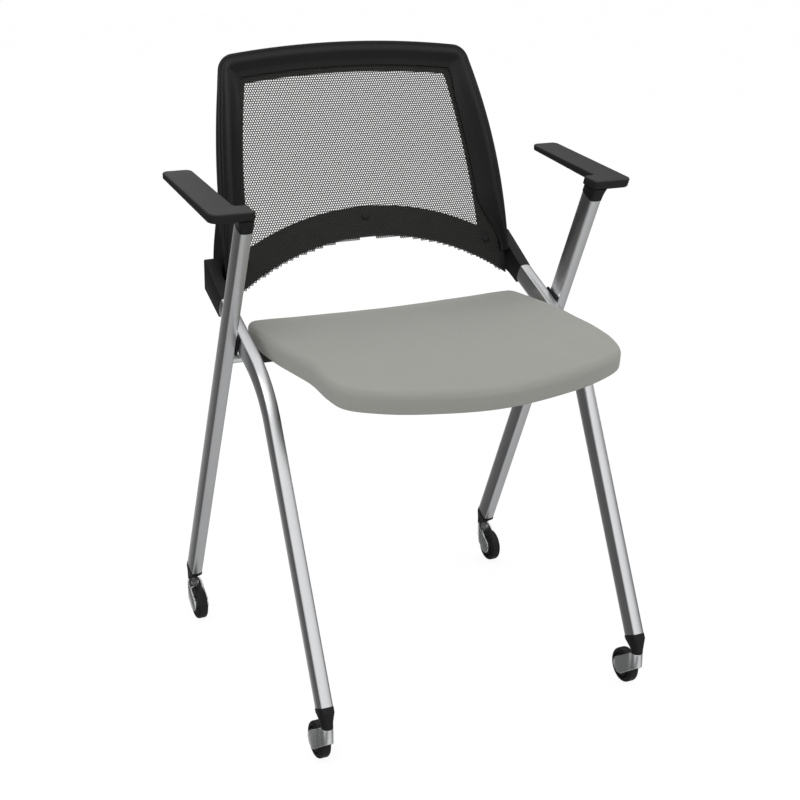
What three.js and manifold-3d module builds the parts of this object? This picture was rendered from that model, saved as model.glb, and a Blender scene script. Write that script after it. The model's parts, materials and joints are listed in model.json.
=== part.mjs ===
// Nesting chair with a net back, a flip-up seat, fixed arms and four casters.
// Millimetres, +Z up. The chair faces -Y and its left side is at -X.

import * as THREE from 'three';
import { mergeVertices } from 'three/addons/utils/BufferGeometryUtils.js';
import Module from 'manifold-3d';

const wasm = await Module();
wasm.setup();

const SIDES = [['left', -1], ['right', 1]];
const X_AXIS = new THREE.Vector3(1, 0, 0);

// Clearances shared by every piece

const fitGap = 0.3; // between pieces that touch on the real chair
const cutOverrun = 4; // how far a cutter runs past the face that it opens

// Tube stock, one section for all four legs

const tubeWidth = 16.8;
const tubeDepth = 31;
const tubeWall = 1.6;
const tubeCornerRadius = 2.2;
const tubeArcSteps = 6;
const tubeCornerSteps = 2;

// Seat

const seatWidth = 424.7;
const seatSideGap = 8.25; // to the front leg tube
const seatDepth = 353;
const seatRearReach = 38; // behind the rod
const seatSlope = THREE.MathUtils.degToRad(1);
const seatThickness = 27.5;
const seatSideTaper = 3; // how far the sides draw in towards the bottom
const seatTopRadius = 7;
const seatBottomRadius = 3;
const seatCrown = 4;
const seatDish = 3; // sag of the middle of the rear edge
const seatFallStart = 213; // behind the front edge is level, past it the front falls
const seatFallRadius = 372;
const seatOutlineSteps = 2;
const seatInnerShares = [0.84, 0.6, 0.32]; // the first is also the edge of the shell
const seatOutlineShares = [
  [0, 0.976], [0.569, 0.993], [0.871, 1], [0.944, 0.987], [0.976, 0.8], [1, 0.633],
  [0.982, 0.47], [0.965, 0.328], [0.957, 0.201], [0.911, 0.126], [0.708, 0.064],
  [0.385, 0.021], [0, 0],
];

// Seat shell and hinge sleeves

const shellThickness = 4.6;
const shellGap = 0.5; // to the cushion
const shellEdgeRadius = 2;
const shellAboveRod = 8.9; // from the rod's middle to the underside of the shell
const seatTopAboveRod = seatThickness + shellGap + shellThickness + shellAboveRod;
const sleeveRadius = 10.5;
const sleeveLength = 62;
const sleeveSideGap = 1.4; // to the front leg tube
const sleeveWebDepth = 34;

// Casters

const wheelRadius = 24.2;
const tyreWidth = 14.6;
const tyreThickness = 6;
const tyreShoulder = 3.6;
const casterTrail = wheelRadius + 3.3;
const swivelHeight = wheelRadius * 2 + 6.6; // bottom of the leg plug
const plugLip = 0.6; // proud of the tube all round
const plugNeckRadius = 6.6;
const plugSpigot = 22;
const plugShares = [0, 0.18, 0.6, 1]; // rings down the plug, which tapers from the second
const stemRadius = 4;
const stemHold = 16; // inside the plug
const forkInnerRadius = 8;
const forkGauge = 3;
const forkSetback = 2.8; // middle of the fork's bend, behind the stem
const forkEndRadius = 12.3;
const forkEndShort = 5; // middle of the fork's rounded end, in front of the axle
const forkEndRise = 3.3; // and above it
const forkShoulder = 4; // level part of the fork's upper edge, behind the stem
const forkDrop = 18.5; // lower edge at the bend, below the top
const forkTopGap = 0.8;
const coreReach = 17; // ribbed end of the core, behind the stem
const coreHeight = 13;
const coreWheelGap = 1.5;
const ribDepth = 0.8;
const ribCount = 5;
const wheelAxleRadius = 3;
const hubRadius = 6.4;
const hubWebThickness = 4;
const hubRimWall = 2.2;
const wheelSideGap = 0.7;
const wheelSteps = 20; // even, so that a facet rests on the floor

// Front legs, which bend back and carry the backrest

const legPlane = seatWidth / 2 + seatSideGap + tubeWidth / 2; // from the middle of the chair
const legFootY = -242.8;
const legFootHeight = swivelHeight + 23.3;
const legLean = THREE.MathUtils.degToRad(26.1);
const legLowerRun = 358;
const legBendRadius = 136;
const legBendSteps = 7;
const legRise = THREE.MathUtils.degToRad(24.5);
const legUpperRun = 117;

// Rear legs, which run up and forward to the arms

const sideGap = 3.7; // between a front leg tube and the arm tube beside it
const armPlane = legPlane + tubeWidth + sideGap;
const armFootY = 224.5;
const armFootHeight = swivelHeight + 21.6;
const armLean = THREE.MathUtils.degToRad(26.1);
const armRunLength = 640;
const armEndY = armFootY - armRunLength * Math.sin(armLean);
const armEndHeight = armFootHeight + armRunLength * Math.cos(armLean);

// Where the tubes cross

const spacerLength = 30; // along the front leg, whose depth it shares
const spacerCorner = 2;
const crossBoltRadius = 4;
const crossBoltGrip = 8; // past the inner wall of the arm tube
const boltHeadRadius = 6.4;
const boltHeadHeight = 3.2;

// Seat rod and its stop pins

const rodRadius = 6;
const rodHeight = 454;
const stopPinRadius = 1.6;
const stopPinReach = 2.4; // past the surface of the rod
const stopPinInset = 30; // from the outer end of the hinge sleeve
const seatTravel = THREE.MathUtils.degToRad(78); // from level to folded up

// Backrest, laid out on its own leaning plane

const backBaseY = 133.1;
const backBaseHeight = 585.9;
const backLean = THREE.MathUtils.degToRad(17.4);
const backSideInset = 11; // from the middle of the leg tube to the backrest's side
const backHalfWidth = legPlane - backSideInset;
const backSideRadius = 1230;
const backSideStart = -20; // where the sides stand straight
const backTop = 268.7;
const backTopRadius = 1350;
const backCornerRadius = 26;
const backCornerSteps = 5;
const backInnerCorner = 4;
const backSideSteps = 8;
const backTopSteps = 10;
const netThickness = 1.2;
const rimFront = 24.3; // fullest depth of the ridge, from the middle of the net
const rimFullRise = 95; // where the ridge is fullest
const rimSwellRadius = 737; // how the ridge falls away above and below
const rimTopFront = 11;
const rimSectionShares = [ // across the width, and of the ridge's depth
  [0, 0.66], [0.05, 0.74], [0.17, 0.71], [0.38, 1], [0.54, 0.81], [0.76, 0.44],
];
const rimInnerLip = 1.8;
const rimFoot = -46;
const rimWidthSide = 37;
const rimWidthTop = 33;
const rimWidthFoot = 7;
const rimNarrowFrom = 44;
const rimTopBlend = 40; // length over which the side's width becomes the top's
const frameRear = 10.5;
const frameFootRear = 25;
const frameDeepenFrom = 100;
const frameEdgeRear = 5;
const frameOuterInset = 2.2;
const frameEdgeInset = 4;
const frameRearInset = 7.5;
const frameWidth = 41.5;
const frameFootWidth = 20;
const frameNarrowFrom = 20;
const bandTop = 36.7;
const bandTopDrop = 68.5; // of its ends below its middle
const bandBottom = -6.3;
const bandBottomDrop = 75.4;
const bandThickness = 5.5;
const bandSteps = 14;
const netInset = 10; // from the outer edge of the rim
const netFringe = 6; // below the band
const netPitch = 26;
const netRow = 11;
const netStrand = 2.6;
const netMargin = 5;

// Brackets that join the backrest to its tubes

const bracketTopY = backBaseY + 14.5;
const bracketTopHeight = backBaseHeight - 19.9;
const bracketDepth = 43; // height of its rear end
const bracketRearY = bracketTopY + 1.8;
const bracketRearHeight = bracketTopHeight - bracketDepth;
const bracketSpigot = 26;
const gussetWidth = 22;
const gussetReach = 41.6; // in front of the bracket's rear end
const gussetSteps = 5;

// Buttons that pin the net to the band

const buttonRadius = 5;
const buttonHeight = 2.2;
const buttonShaftRadius = 2;
const buttonRise = 22;
const buttonSideX = backHalfWidth - 32;
const buttonSideRise = -26;
const buttonPlaces = [
  ['middle', 0, buttonRise], ['left', -buttonSideX, buttonSideRise], ['right', buttonSideX, buttonSideRise],
];

// Arm pads and sockets

const socketLip = 0.6; // proud of the tube all round
const socketSpigot = 26;
const padWidth = 40.6;
const padLength = 207;
const padLugLength = 34;
const padLugX = armPlane - tubeWidth / 2 - socketLip;
const padInnerX = armPlane + tubeWidth / 2;
const padOuterX = padInnerX + padWidth;
const padFrontY = armEndY - 27.9;
const padRearY = padFrontY + padLength;
const padLugRearY = padFrontY + padLugLength;
const padTopFront = armEndHeight + 22.7;
const padRise = THREE.MathUtils.degToRad(5.9);
const padFrontThickness = 12.5;
const padRearThickness = 8;
const padFrontRadius = 13;
const padRearRadius = 6;
const padLugRadius = 3.8;
const padInnerRadius = 5;
const padCornerSteps = 3;
const padEdgeRadius = 3;
const padScrewRadius = 2.5;
const padScrewLength = 16;

// Materials, one per kind of surface

const finishes = {
  satinSteel: { color: 0xb9bbbe, roughness: 0.32, metalness: 0.9 },
  chrome: { color: 0xd4d6d8, roughness: 0.12, metalness: 1 },
  darkSteel: { color: 0x4a4b4d, roughness: 0.45, metalness: 0.8 },
  blackPlastic: { color: 0x1c1c1d, roughness: 0.48, metalness: 0 },
  padPlastic: { color: 0x2f2f30, roughness: 0.7, metalness: 0 },
  netYarn: { color: 0x161616, roughness: 0.85, metalness: 0 },
  seatFabric: { color: 0x9a9c95, roughness: 0.95, metalness: 0 },
  tyreRubber: { color: 0x141414, roughness: 0.6, metalness: 0 },
};

/** Makes a named mesh with its own material. */
function piece(name, geometry, finish) {
  const mesh = new THREE.Mesh(geometry, new THREE.MeshStandardMaterial(finishes[finish]));
  mesh.name = name;
  return mesh;
}

/** Turns a three.js geometry into a solid that can be cut and joined. */
function toSolid(geometry) {
  const plain = geometry.clone();
  plain.deleteAttribute('normal');
  plain.deleteAttribute('uv');
  const welded = mergeVertices(plain);
  return new wasm.Manifold(new wasm.Mesh({
    numProp: 3,
    vertProperties: Float32Array.from(welded.attributes.position.array),
    triVerts: Uint32Array.from(welded.index.array),
  }));
}

/** Turns a cut solid back into a three.js geometry. */
function toGeometry(solid) {
  const mesh = solid.getMesh();
  const geometry = new THREE.BufferGeometry();
  geometry.setAttribute('position', new THREE.BufferAttribute(Float32Array.from(mesh.vertProperties), 3));
  geometry.setIndex(Array.from(mesh.triVerts));
  geometry.computeVertexNormals();
  return geometry;
}

/** Cuts each of the tools away from a geometry. */
function cut(geometry, ...tools) {
  return toGeometry(tools.reduce((solid, tool) => solid.subtract(toSolid(tool)), toSolid(geometry)));
}

/** Joins geometries into one solid. */
function join(first, ...others) {
  return toGeometry(others.reduce((solid, other) => solid.add(toSolid(other)), toSolid(first)));
}

/** Keeps what two geometries share. */
function overlap(first, second) {
  return toGeometry(toSolid(first).intersect(toSolid(second)));
}

/** Mirrors a geometry across the middle plane of the chair. */
function mirrored(geometry) {
  const flipped = geometry.index ? geometry.toNonIndexed() : geometry.clone();
  flipped.deleteAttribute('uv');
  const place = flipped.attributes.position;
  for (let corner = 0; corner < place.count; corner += 3) {
    const [a, b] = [corner + 1, corner + 2].map((i) => new THREE.Vector3().fromBufferAttribute(place, i));
    place.setX(corner, -place.getX(corner));
    place.setXYZ(corner + 1, -b.x, b.y, b.z);
    place.setXYZ(corner + 2, -a.x, a.y, a.z);
  }
  flipped.computeVertexNormals();
  return flipped;
}

/** Gives the right-hand geometry as it is and the left-hand one mirrored. */
function forSide(geometry, sign) {
  return sign > 0 ? geometry : mirrored(geometry);
}

/** Points along a circular arc in a plane, both ends included. */
function arc(centreX, centreY, radius, from, to, steps) {
  return Array.from({ length: steps + 1 }, (_, i) => {
    const angle = from + (to - from) * i / steps;
    return new THREE.Vector2(centreX + radius * Math.cos(angle), centreY + radius * Math.sin(angle));
  });
}

/** Rounds the corners of a polygon, each with its own radius. */
function roundedPolygon(corners, steps) {
  return corners.flatMap(([x, y, radius], i) => {
    const here = new THREE.Vector2(x, y);
    if (radius === 0) {
      return [here];
    }
    const [before, after] = [corners.at(i - 1), corners[(i + 1) % corners.length]]
      .map(([px, py]) => new THREE.Vector2(px, py).sub(here).normalize());
    const half = Math.acos(THREE.MathUtils.clamp(before.dot(after), -1, 1)) / 2;
    const centre = before.clone().add(after).setLength(radius / Math.sin(half)).add(here);
    const start = before.clone().multiplyScalar(radius / Math.tan(half)).add(here).sub(centre);
    const end = after.clone().multiplyScalar(radius / Math.tan(half)).add(here).sub(centre);
    const sweep = Math.atan2(start.cross(end), start.dot(end));
    return arc(centre.x, centre.y, radius, start.angle(), start.angle() + sweep, steps);
  });
}

/** Section of the leg tube: flat in front, round behind, grown or shrunk by an offset. */
function tubeSection(offset = 0) {
  const halfWidth = tubeWidth / 2 + offset;
  const front = tubeDepth / 2 + offset;
  const corner = Math.max(tubeCornerRadius + offset, tubeCornerRadius / 4);
  const rearCentre = tubeWidth / 2 - tubeDepth / 2;
  return [
    ...arc(0, rearCentre, halfWidth, Math.PI, 2 * Math.PI, tubeArcSteps),
    ...arc(halfWidth - corner, front - corner, corner, 0, Math.PI / 2, tubeCornerSteps),
    ...arc(corner - halfWidth, front - corner, corner, Math.PI / 2, Math.PI, tubeCornerSteps),
  ];
}

/** A path through chosen stations, so that straight stretches take one step each. */
class StationPath extends THREE.Curve {
  constructor(points, tangents) {
    super();
    this.points = points;
    this.tangents = tangents;
  }

  get steps() {
    return this.points.length - 1;
  }

  getPointAt(share, target = new THREE.Vector3()) {
    return target.copy(this.points[Math.round(share * this.steps)]);
  }

  getTangentAt(share, target = new THREE.Vector3()) {
    return target.copy(this.tangents[Math.round(share * this.steps)]);
  }
}

/** Sweeps a closed section along a station path, with an optional bore. */
function sweep(section, path, bore) {
  const shape = new THREE.Shape(section);
  if (bore) {
    shape.holes.push(new THREE.Path(bore));
  }
  return new THREE.ExtrudeGeometry(shape, { steps: path.steps, extrudePath: path, bevelEnabled: false });
}

/** A straight path from a place, along a direction. */
function straightPath(start, direction, length) {
  return new StationPath([start, start.clone().addScaledVector(direction, length)], [direction, direction]);
}

/** A cylinder along X, between two places on that axis. */
function crossCylinder(radius, fromX, toX, y, z, steps = 16) {
  const geometry = new THREE.CylinderGeometry(radius, radius, Math.abs(toX - fromX), steps);
  geometry.rotateZ(Math.PI / 2);
  geometry.translate((fromX + toX) / 2, y, z);
  return geometry;
}

/** Lays a lathe's profile of [radius, along] pairs round the X axis, with its facets on the true radius. */
function turnedAcross(profile, steps) {
  const halfStep = Math.PI / steps;
  const points = profile.map(([radius, along]) => new THREE.Vector2(radius / Math.cos(halfStep), along));
  const geometry = new THREE.LatheGeometry(points, steps, halfStep);
  geometry.rotateZ(-Math.PI / 2);
  return geometry;
}

/** Lays a lathe's profile of [radius, height] pairs round the Z axis. */
function turnedUpright(profile, steps) {
  const points = profile.map(([radius, height]) => new THREE.Vector2(radius, height));
  const geometry = new THREE.LatheGeometry(points, steps);
  geometry.rotateX(Math.PI / 2);
  return geometry;
}

/** Joins rings of equal length into one closed skin, with a flat cap at each end. */
function skin(rings, closedEnds = true) {
  const count = rings[0].length;
  const positions = rings.flat().flatMap((point) => point.toArray());
  const faces = [];
  const last = rings.length - 1;
  for (let ring = 0; ring < last; ring += 1) {
    for (let i = 0; i < count; i += 1) {
      const [a, b] = [ring * count + i, ring * count + (i + 1) % count];
      faces.push(a, b, b + count, a, b + count, a + count);
    }
  }
  if (closedEnds) {
    const flat = (ring) => {
      const [origin, along] = [ring[0], ring[Math.floor(count / 3)].clone().sub(ring[0]).normalize()];
      const normal = new THREE.Vector3();
      ring.forEach((point, i) => normal.add(point.clone().cross(ring[(i + 1) % count])));
      const across = normal.normalize().clone().cross(along).normalize();
      const square = across.clone().cross(normal).normalize();
      return ring.map((point) => {
        const offset = point.clone().sub(origin);
        return new THREE.Vector2(offset.dot(square), offset.dot(across));
      });
    };
    for (const [a, b, c] of THREE.ShapeUtils.triangulateShape(flat(rings[0]), [])) {
      faces.push(a, c, b);
    }
    const top = last * count;
    for (const [a, b, c] of THREE.ShapeUtils.triangulateShape(flat(rings[last]), [])) {
      faces.push(top + a, top + b, top + c);
    }
  }
  const geometry = new THREE.BufferGeometry();
  geometry.setAttribute('position', new THREE.Float32BufferAttribute(positions, 3));
  geometry.setIndex(faces);
  geometry.computeVertexNormals();
  return geometry;
}

/** Moves each point of a closed counter-clockwise outline inward. */
function inset(outline, distance) {
  return outline.map((point, i) => {
    const before = outline.at(i - 1);
    const after = outline[(i + 1) % outline.length];
    const [inward, outward] = [point.clone().sub(before).normalize(), after.clone().sub(point).normalize()];
    const normals = [inward, outward].map((d) => new THREE.Vector2(-d.y, d.x));
    const middle = normals[0].clone().add(normals[1]).normalize();
    const stretch = Math.max(middle.dot(normals[0]), 0.5);
    return point.clone().addScaledVector(middle, distance / stretch);
  });
}

// Lines of the side frame, as points of the chair's side plane

const up = (lean) => new THREE.Vector3(0, Math.sin(lean), Math.cos(lean));
const legDirection = up(legLean);
const armDirection = up(-armLean);
const riseDirection = up(Math.PI / 2 - legRise);

/** Centre line of a front leg from its foot to the backrest, on one side. */
function legPath(x) {
  const foot = new THREE.Vector3(x, legFootY, legFootHeight);
  const bendStart = foot.clone().addScaledVector(legDirection, legLowerRun);
  const turn = Math.PI / 2 - legRise - legLean;
  const inward = new THREE.Vector3(0, Math.cos(legLean), -Math.sin(legLean));
  const centre = bendStart.clone().addScaledVector(inward, legBendRadius);
  const points = [foot];
  const tangents = [legDirection];
  for (let step = 0; step <= legBendSteps; step += 1) {
    const angle = -turn * step / legBendSteps;
    points.push(bendStart.clone().sub(centre).applyAxisAngle(X_AXIS, angle).add(centre));
    tangents.push(legDirection.clone().applyAxisAngle(X_AXIS, angle));
  }
  points.push(points.at(-1).clone().addScaledVector(riseDirection, legUpperRun));
  tangents.push(riseDirection);
  return new StationPath(points, tangents);
}

/** Place on the arm tube's centre line at a height. */
function armLineAt(height) {
  return armFootY - (height - armFootHeight) * Math.tan(armLean);
}

const legTop = legPath(0).points.at(-1);
const legRiseStart = legPath(0).points.at(-2);
const crossing = (() => {
  const slope = Math.tan(legRise);
  const level = (armFootY + armFootHeight * Math.tan(armLean) - legRiseStart.y) * slope + legRiseStart.z;
  const height = level / (1 + slope * Math.tan(armLean));
  return new THREE.Vector3(0, armLineAt(height), height);
})();
const rodY = armLineAt(rodHeight);

/** Side frames: tubes, spacers and bolts. */
function sideFrame(name, sign) {
  const group = new THREE.Group();
  const legTube = cut(
    sweep(tubeSection(), legPath(legPlane), tubeSection(-tubeWall)),
    crossCylinder(crossBoltRadius + fitGap, legPlane, legPlane + tubeWidth, crossing.y, crossing.z),
  );
  const armRun = straightPath(
    new THREE.Vector3(armPlane, armFootY, armFootHeight), armDirection, armRunLength);
  const armTube = cut(
    sweep(tubeSection(), armRun, tubeSection(-tubeWall)),
    crossCylinder(crossBoltRadius + fitGap, armPlane - tubeWidth, armPlane, crossing.y, crossing.z),
    crossCylinder(rodRadius + fitGap, armPlane - tubeWidth, armPlane, rodY, rodHeight),
  );
  const [spacerFrom, spacerTo] = [legPlane + tubeWidth / 2 + fitGap, armPlane - tubeWidth / 2 - fitGap];
  const spacerPlan = roundedPolygon([[1, 1], [-1, 1], [-1, -1], [1, -1]].map(([along, over]) => (
    [along * spacerLength / 2, over * tubeDepth / 2, spacerCorner])), tubeCornerSteps)
    .map((p) => p.rotateAround(new THREE.Vector2(), legRise).add(new THREE.Vector2(crossing.y, crossing.z)));
  const spacer = cut(
    sidePlate(spacerPlan, spacerFrom, spacerTo),
    crossCylinder(crossBoltRadius + fitGap, spacerFrom - cutOverrun, spacerTo + cutOverrun, crossing.y, crossing.z),
  );
  const headSeat = legPlane + tubeWidth / 2 - tubeWall - fitGap;
  const boltEnd = armPlane - tubeWidth / 2 + tubeWall + crossBoltGrip;
  const bolt = turnedAcross([
    [0, headSeat - boltHeadHeight], [boltHeadRadius, headSeat - boltHeadHeight], [boltHeadRadius, headSeat],
    [crossBoltRadius, headSeat], [crossBoltRadius, boltEnd], [0, boltEnd],
  ], 16).translate(0, crossing.y, crossing.z);
  group.add(
    piece(`front_leg_tube_${name}`, forSide(legTube, sign), 'satinSteel'),
    piece(`arm_leg_tube_${name}`, forSide(armTube, sign), 'satinSteel'),
    piece(`crossing_spacer_${name}`, forSide(spacer, sign), 'blackPlastic'),
    piece(`crossing_bolt_${name}`, forSide(bolt, sign), 'darkSteel'),
  );
  return group;
}

const rodEnd = armPlane - tubeWidth / 2 + tubeWall;
const sleeveOuterX = legPlane - tubeWidth / 2 - sleeveSideGap;
const stopPinX = sleeveOuterX - stopPinInset;

/** The rod between the arm tubes, which the seat turns on. */
function seatRod() {
  const pinHole = new THREE.CylinderGeometry(
    stopPinRadius + fitGap, stopPinRadius + fitGap, rodRadius * 2 + cutOverrun, 12);
  const holes = SIDES.map(([, sign]) => (
    pinHole.clone().rotateX(Math.PI / 2).translate(sign * stopPinX, rodY, rodHeight)));
  return piece('seat_rod', cut(crossCylinder(rodRadius, -rodEnd, rodEnd, rodY, rodHeight), ...holes), 'chrome');
}

/** A pin through the rod that stops the seat at both ends of its travel. */
function stopPin(name, sign) {
  const length = rodRadius + stopPinReach;
  const geometry = new THREE.CylinderGeometry(stopPinRadius, stopPinRadius, length * 2, 12);
  geometry.rotateX(Math.PI / 2);
  geometry.translate(sign * stopPinX, rodY, rodHeight);
  return piece(`seat_stop_pin_${name}`, geometry, 'darkSteel');
}

// Seat surfaces

const seatRearY = rodY + seatRearReach;
const seatFrontY = seatRearY - seatDepth;
const seatFallY = seatFrontY + seatDepth - seatFallStart;

/** Height of the seat's upper surface over a point of its plan. */
function seatTopAt(x, y) {
  const level = rodHeight + seatTopAboveRod - Math.tan(seatSlope) * (y - rodY);
  const past = Math.max(seatFallY - y, 0);
  const fall = seatFallRadius - Math.sqrt(seatFallRadius ** 2 - past ** 2);
  const across = 1 - (2 * x / seatWidth) ** 2;
  const towardsRear = THREE.MathUtils.clamp((y - rodY) / seatRearReach, 0, 1);
  return level - fall - seatDish * across * towardsRear;
}

/** Outline of the seat, counter-clockwise from the middle of the rear edge. */
function seatOutline() {
  const half = seatOutlineShares.map(([across, along]) => (
    new THREE.Vector2(-across * seatWidth / 2, seatFrontY + along * seatDepth)));
  const whole = [...half, ...half.slice(1, -1).reverse().map((p) => new THREE.Vector2(-p.x, p.y))];
  const loop = new THREE.CatmullRomCurve3(whole.map((p) => new THREE.Vector3(p.x, p.y, 0)), true, 'centripetal');
  const count = whole.length * seatOutlineSteps;
  return Array.from({ length: count }, (_, i) => {
    const point = loop.getPoint(i / count);
    return new THREE.Vector2(point.x, point.y);
  });
}

/** One ring of a slab that follows the seat's surface. */
function seatRing(outline, distance, depth) {
  return inset(outline, distance).map((p) => new THREE.Vector3(p.x, p.y, seatTopAt(p.x, p.y) - depth));
}

/** A ring of the seat's plan shrunk towards its middle, with the crown if it is above. */
function seatInnerRing(outline, share, depth, crown = 0) {
  const middle = (seatFrontY + seatRearY) / 2;
  return outline.map((p) => {
    const [x, y] = [p.x * share, middle + (p.y - middle) * share];
    return new THREE.Vector3(x, y, seatTopAt(x, y) - depth + crown * (1 - share ** 2));
  });
}

/** The padded seat: crowned above, its sides drawn in towards the bottom. */
function seatCushion() {
  const outline = seatOutline();
  const sink = 1 - Math.SQRT1_2;
  const edge = inset(outline, seatTopRadius);
  const rings = [
    ...seatInnerShares.toReversed().map((share) => seatInnerRing(outline, share, seatThickness)),
    seatRing(outline, seatSideTaper + seatBottomRadius, seatThickness),
    seatRing(outline, seatSideTaper, seatThickness - seatBottomRadius * sink),
    seatRing(outline, seatSideTaper / 3, (seatThickness + seatTopRadius) / 2),
    seatRing(outline, 0, seatTopRadius),
    seatRing(outline, seatTopRadius * sink, seatTopRadius * sink),
    seatRing(outline, seatTopRadius, 0),
    ...seatInnerShares.map((share) => seatInnerRing(edge, share, 0, seatCrown)),
  ];
  return piece('seat_cushion', skin(rings), 'seatFabric');
}

/** The moulded pan under the cushion, with a hinge sleeve near each end of the rod. */
function seatShell() {
  const outline = seatOutline();
  const top = seatThickness + shellGap;
  const bottom = top + shellThickness;
  const edgeShare = seatInnerShares[0] - shellEdgeRadius / seatWidth;
  const pan = skin([
    ...seatInnerShares.toReversed().slice(0, -1).map((share) => seatInnerRing(outline, share, bottom)),
    seatInnerRing(outline, edgeShare, bottom),
    seatInnerRing(outline, seatInnerShares[0], bottom - shellEdgeRadius),
    ...seatInnerShares.map((share) => seatInnerRing(outline, share, top)),
  ]);
  const webTop = rodHeight + seatTopAboveRod - top - shellThickness / 2;
  const tools = [];
  const parts = SIDES.flatMap(([, sign]) => {
    const [outer, inner] = [sign * sleeveOuterX, sign * (sleeveOuterX - sleeveLength)];
    const barrel = crossCylinder(sleeveRadius, outer, inner, rodY, rodHeight, 24);
    const neck = new THREE.Shape([
      ...arc(0, 0, sleeveRadius, Math.PI, 2 * Math.PI, 12),
      new THREE.Vector2(sleeveWebDepth / 2, webTop - rodHeight),
      new THREE.Vector2(-sleeveWebDepth / 2, webTop - rodHeight),
    ]);
    const lug = new THREE.ExtrudeGeometry(neck, { depth: sleeveLength, bevelEnabled: false });
    lug.rotateX(Math.PI / 2).rotateZ(Math.PI / 2);
    lug.translate(Math.min(outer, inner), rodY, rodHeight);
    tools.push(stopSlot(sign));
    return [barrel, lug];
  });
  const bore = crossCylinder(rodRadius + fitGap, -rodEnd - cutOverrun, rodEnd + cutOverrun, rodY, rodHeight);
  return piece('seat_shell', cut(join(pan, ...parts), bore, ...tools), 'blackPlastic');
}

/** Room in a hinge sleeve for the stop pin over the seat's whole travel. */
function stopSlot(sign) {
  const reach = rodRadius + stopPinReach + fitGap;
  const spread = Math.asin((stopPinRadius + fitGap) / rodRadius);
  const width = (stopPinRadius + fitGap) * 2;
  const wedges = [-Math.PI / 2, Math.PI / 2].map((turn) => {
    const shape = new THREE.Shape([
      new THREE.Vector2(0, 0),
      ...arc(0, 0, reach, turn - spread, turn + seatTravel + spread, 12),
    ]);
    const wedge = new THREE.ExtrudeGeometry(shape, { depth: width, bevelEnabled: false });
    wedge.rotateX(Math.PI / 2).rotateZ(Math.PI / 2);
    return wedge.translate(sign * stopPinX - width / 2, rodY, rodHeight);
  });
  return join(wedges[0], crossCylinder(rodRadius, sign * stopPinX - width / 2, sign * stopPinX + width / 2,
    rodY, rodHeight), wedges[1]);
}

// Backrest surfaces. Plans are drawn as (x, rise); depth counts forward from the net.

const backFrameMatrix = new THREE.Matrix4()
  .makeTranslation(0, backBaseY, backBaseHeight)
  .multiply(new THREE.Matrix4().makeRotationX(-backLean));

/** A point of the backrest, from its plan and its depth in front of the net. */
function backPoint(x, rise, depth) {
  return new THREE.Vector3(x, -depth, rise).applyMatrix4(backFrameMatrix);
}

/** A line round the backrest from its right foot to its left, at a distance inside its outer edge. */
function backLine(distance, foot) {
  const [side, top] = [backSideRadius - distance, backTopRadius - distance];
  const cornerRadius = Math.max(backCornerRadius - distance, backInnerCorner);
  const sideCentre = new THREE.Vector2(backHalfWidth - backSideRadius, backSideStart);
  const topCentre = new THREE.Vector2(0, backTop - backTopRadius);
  const [sideReach, topReach] = [side - cornerRadius, top - cornerRadius];
  const apart = topCentre.distanceTo(sideCentre);
  const axis = topCentre.clone().sub(sideCentre).normalize();
  const along = (sideReach ** 2 - topReach ** 2 + apart ** 2) / (2 * apart);
  const aside = Math.sqrt(sideReach ** 2 - along ** 2);
  const corner = sideCentre.clone().addScaledVector(axis, along)
    .add(new THREE.Vector2(-axis.y, axis.x).multiplyScalar(aside));
  const sideEnd = corner.clone().sub(sideCentre).angle();
  const topEnd = corner.clone().sub(topCentre).angle();
  const right = [
    ...arc(sideCentre.x, sideCentre.y, side, Math.asin((foot - backSideStart) / side), sideEnd, backSideSteps),
    ...arc(corner.x, corner.y, cornerRadius, sideEnd, topEnd, backCornerSteps).slice(1),
    ...arc(topCentre.x, topCentre.y, top, topEnd, Math.PI / 2, backTopSteps / 2).slice(1),
  ];
  return [...right, ...right.slice(0, -1).reverse().map((p) => new THREE.Vector2(-p.x, p.y))];
}

/** Sweeps a section of [distance inside, depth] pairs round the backrest. */
function backSweep(foot, sectionAt) {
  const rings = backLine(0, foot).map((place, i) => (
    sectionAt(place.y).map(([distance, depth]) => {
      const point = backLine(distance, foot)[i];
      return backPoint(point.x, point.y, depth);
    })));
  return skin(rings.reverse());
}

/** Front rim of the backrest, which holds the net against the frame and swells at the sides. */
function backRim() {
  const rear = netThickness / 2 + fitGap;
  const { lerp, smoothstep } = THREE.MathUtils;
  return piece('back_rim', backSweep(rimFoot, (rise) => {
    const full = lerp(rimWidthSide, rimWidthTop, smoothstep(rise, backTop - rimTopBlend * 2, backTop - rimTopBlend));
    const width = lerp(rimWidthFoot, full, smoothstep(rise, rimFoot, rimNarrowFrom));
    const ridge = Math.max(rimFront - (rise - rimFullRise) ** 2 / (2 * rimSwellRadius), rimTopFront);
    return [
      [0, rear], ...rimSectionShares.map(([across, deep]) => [across * width, deep * ridge]),
      [width, rear + rimInnerLip], [width, rear],
    ];
  }), 'blackPlastic');
}

/** Rise of an arc that falls by a drop from the middle to the backrest's sides. */
function arcRise(middle, drop, x) {
  const radius = (backHalfWidth ** 2 + drop ** 2) / (2 * drop);
  return middle - radius + Math.sqrt(radius ** 2 - x ** 2);
}

/** Plan of the lumbar band, between its two arcs. */
function bandPlan() {
  const reach = backHalfWidth - frameOuterInset - fitGap;
  const lower = [];
  const upper = [];
  for (let step = 0; step <= bandSteps; step += 1) {
    const x = reach * (2 * step / bandSteps - 1);
    lower.push(new THREE.Vector2(x, arcRise(bandBottom, bandBottomDrop, x)));
    upper.push(new THREE.Vector2(x, arcRise(bandTop, bandTopDrop, x)));
  }
  return [...lower, ...upper.reverse()];
}

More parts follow.
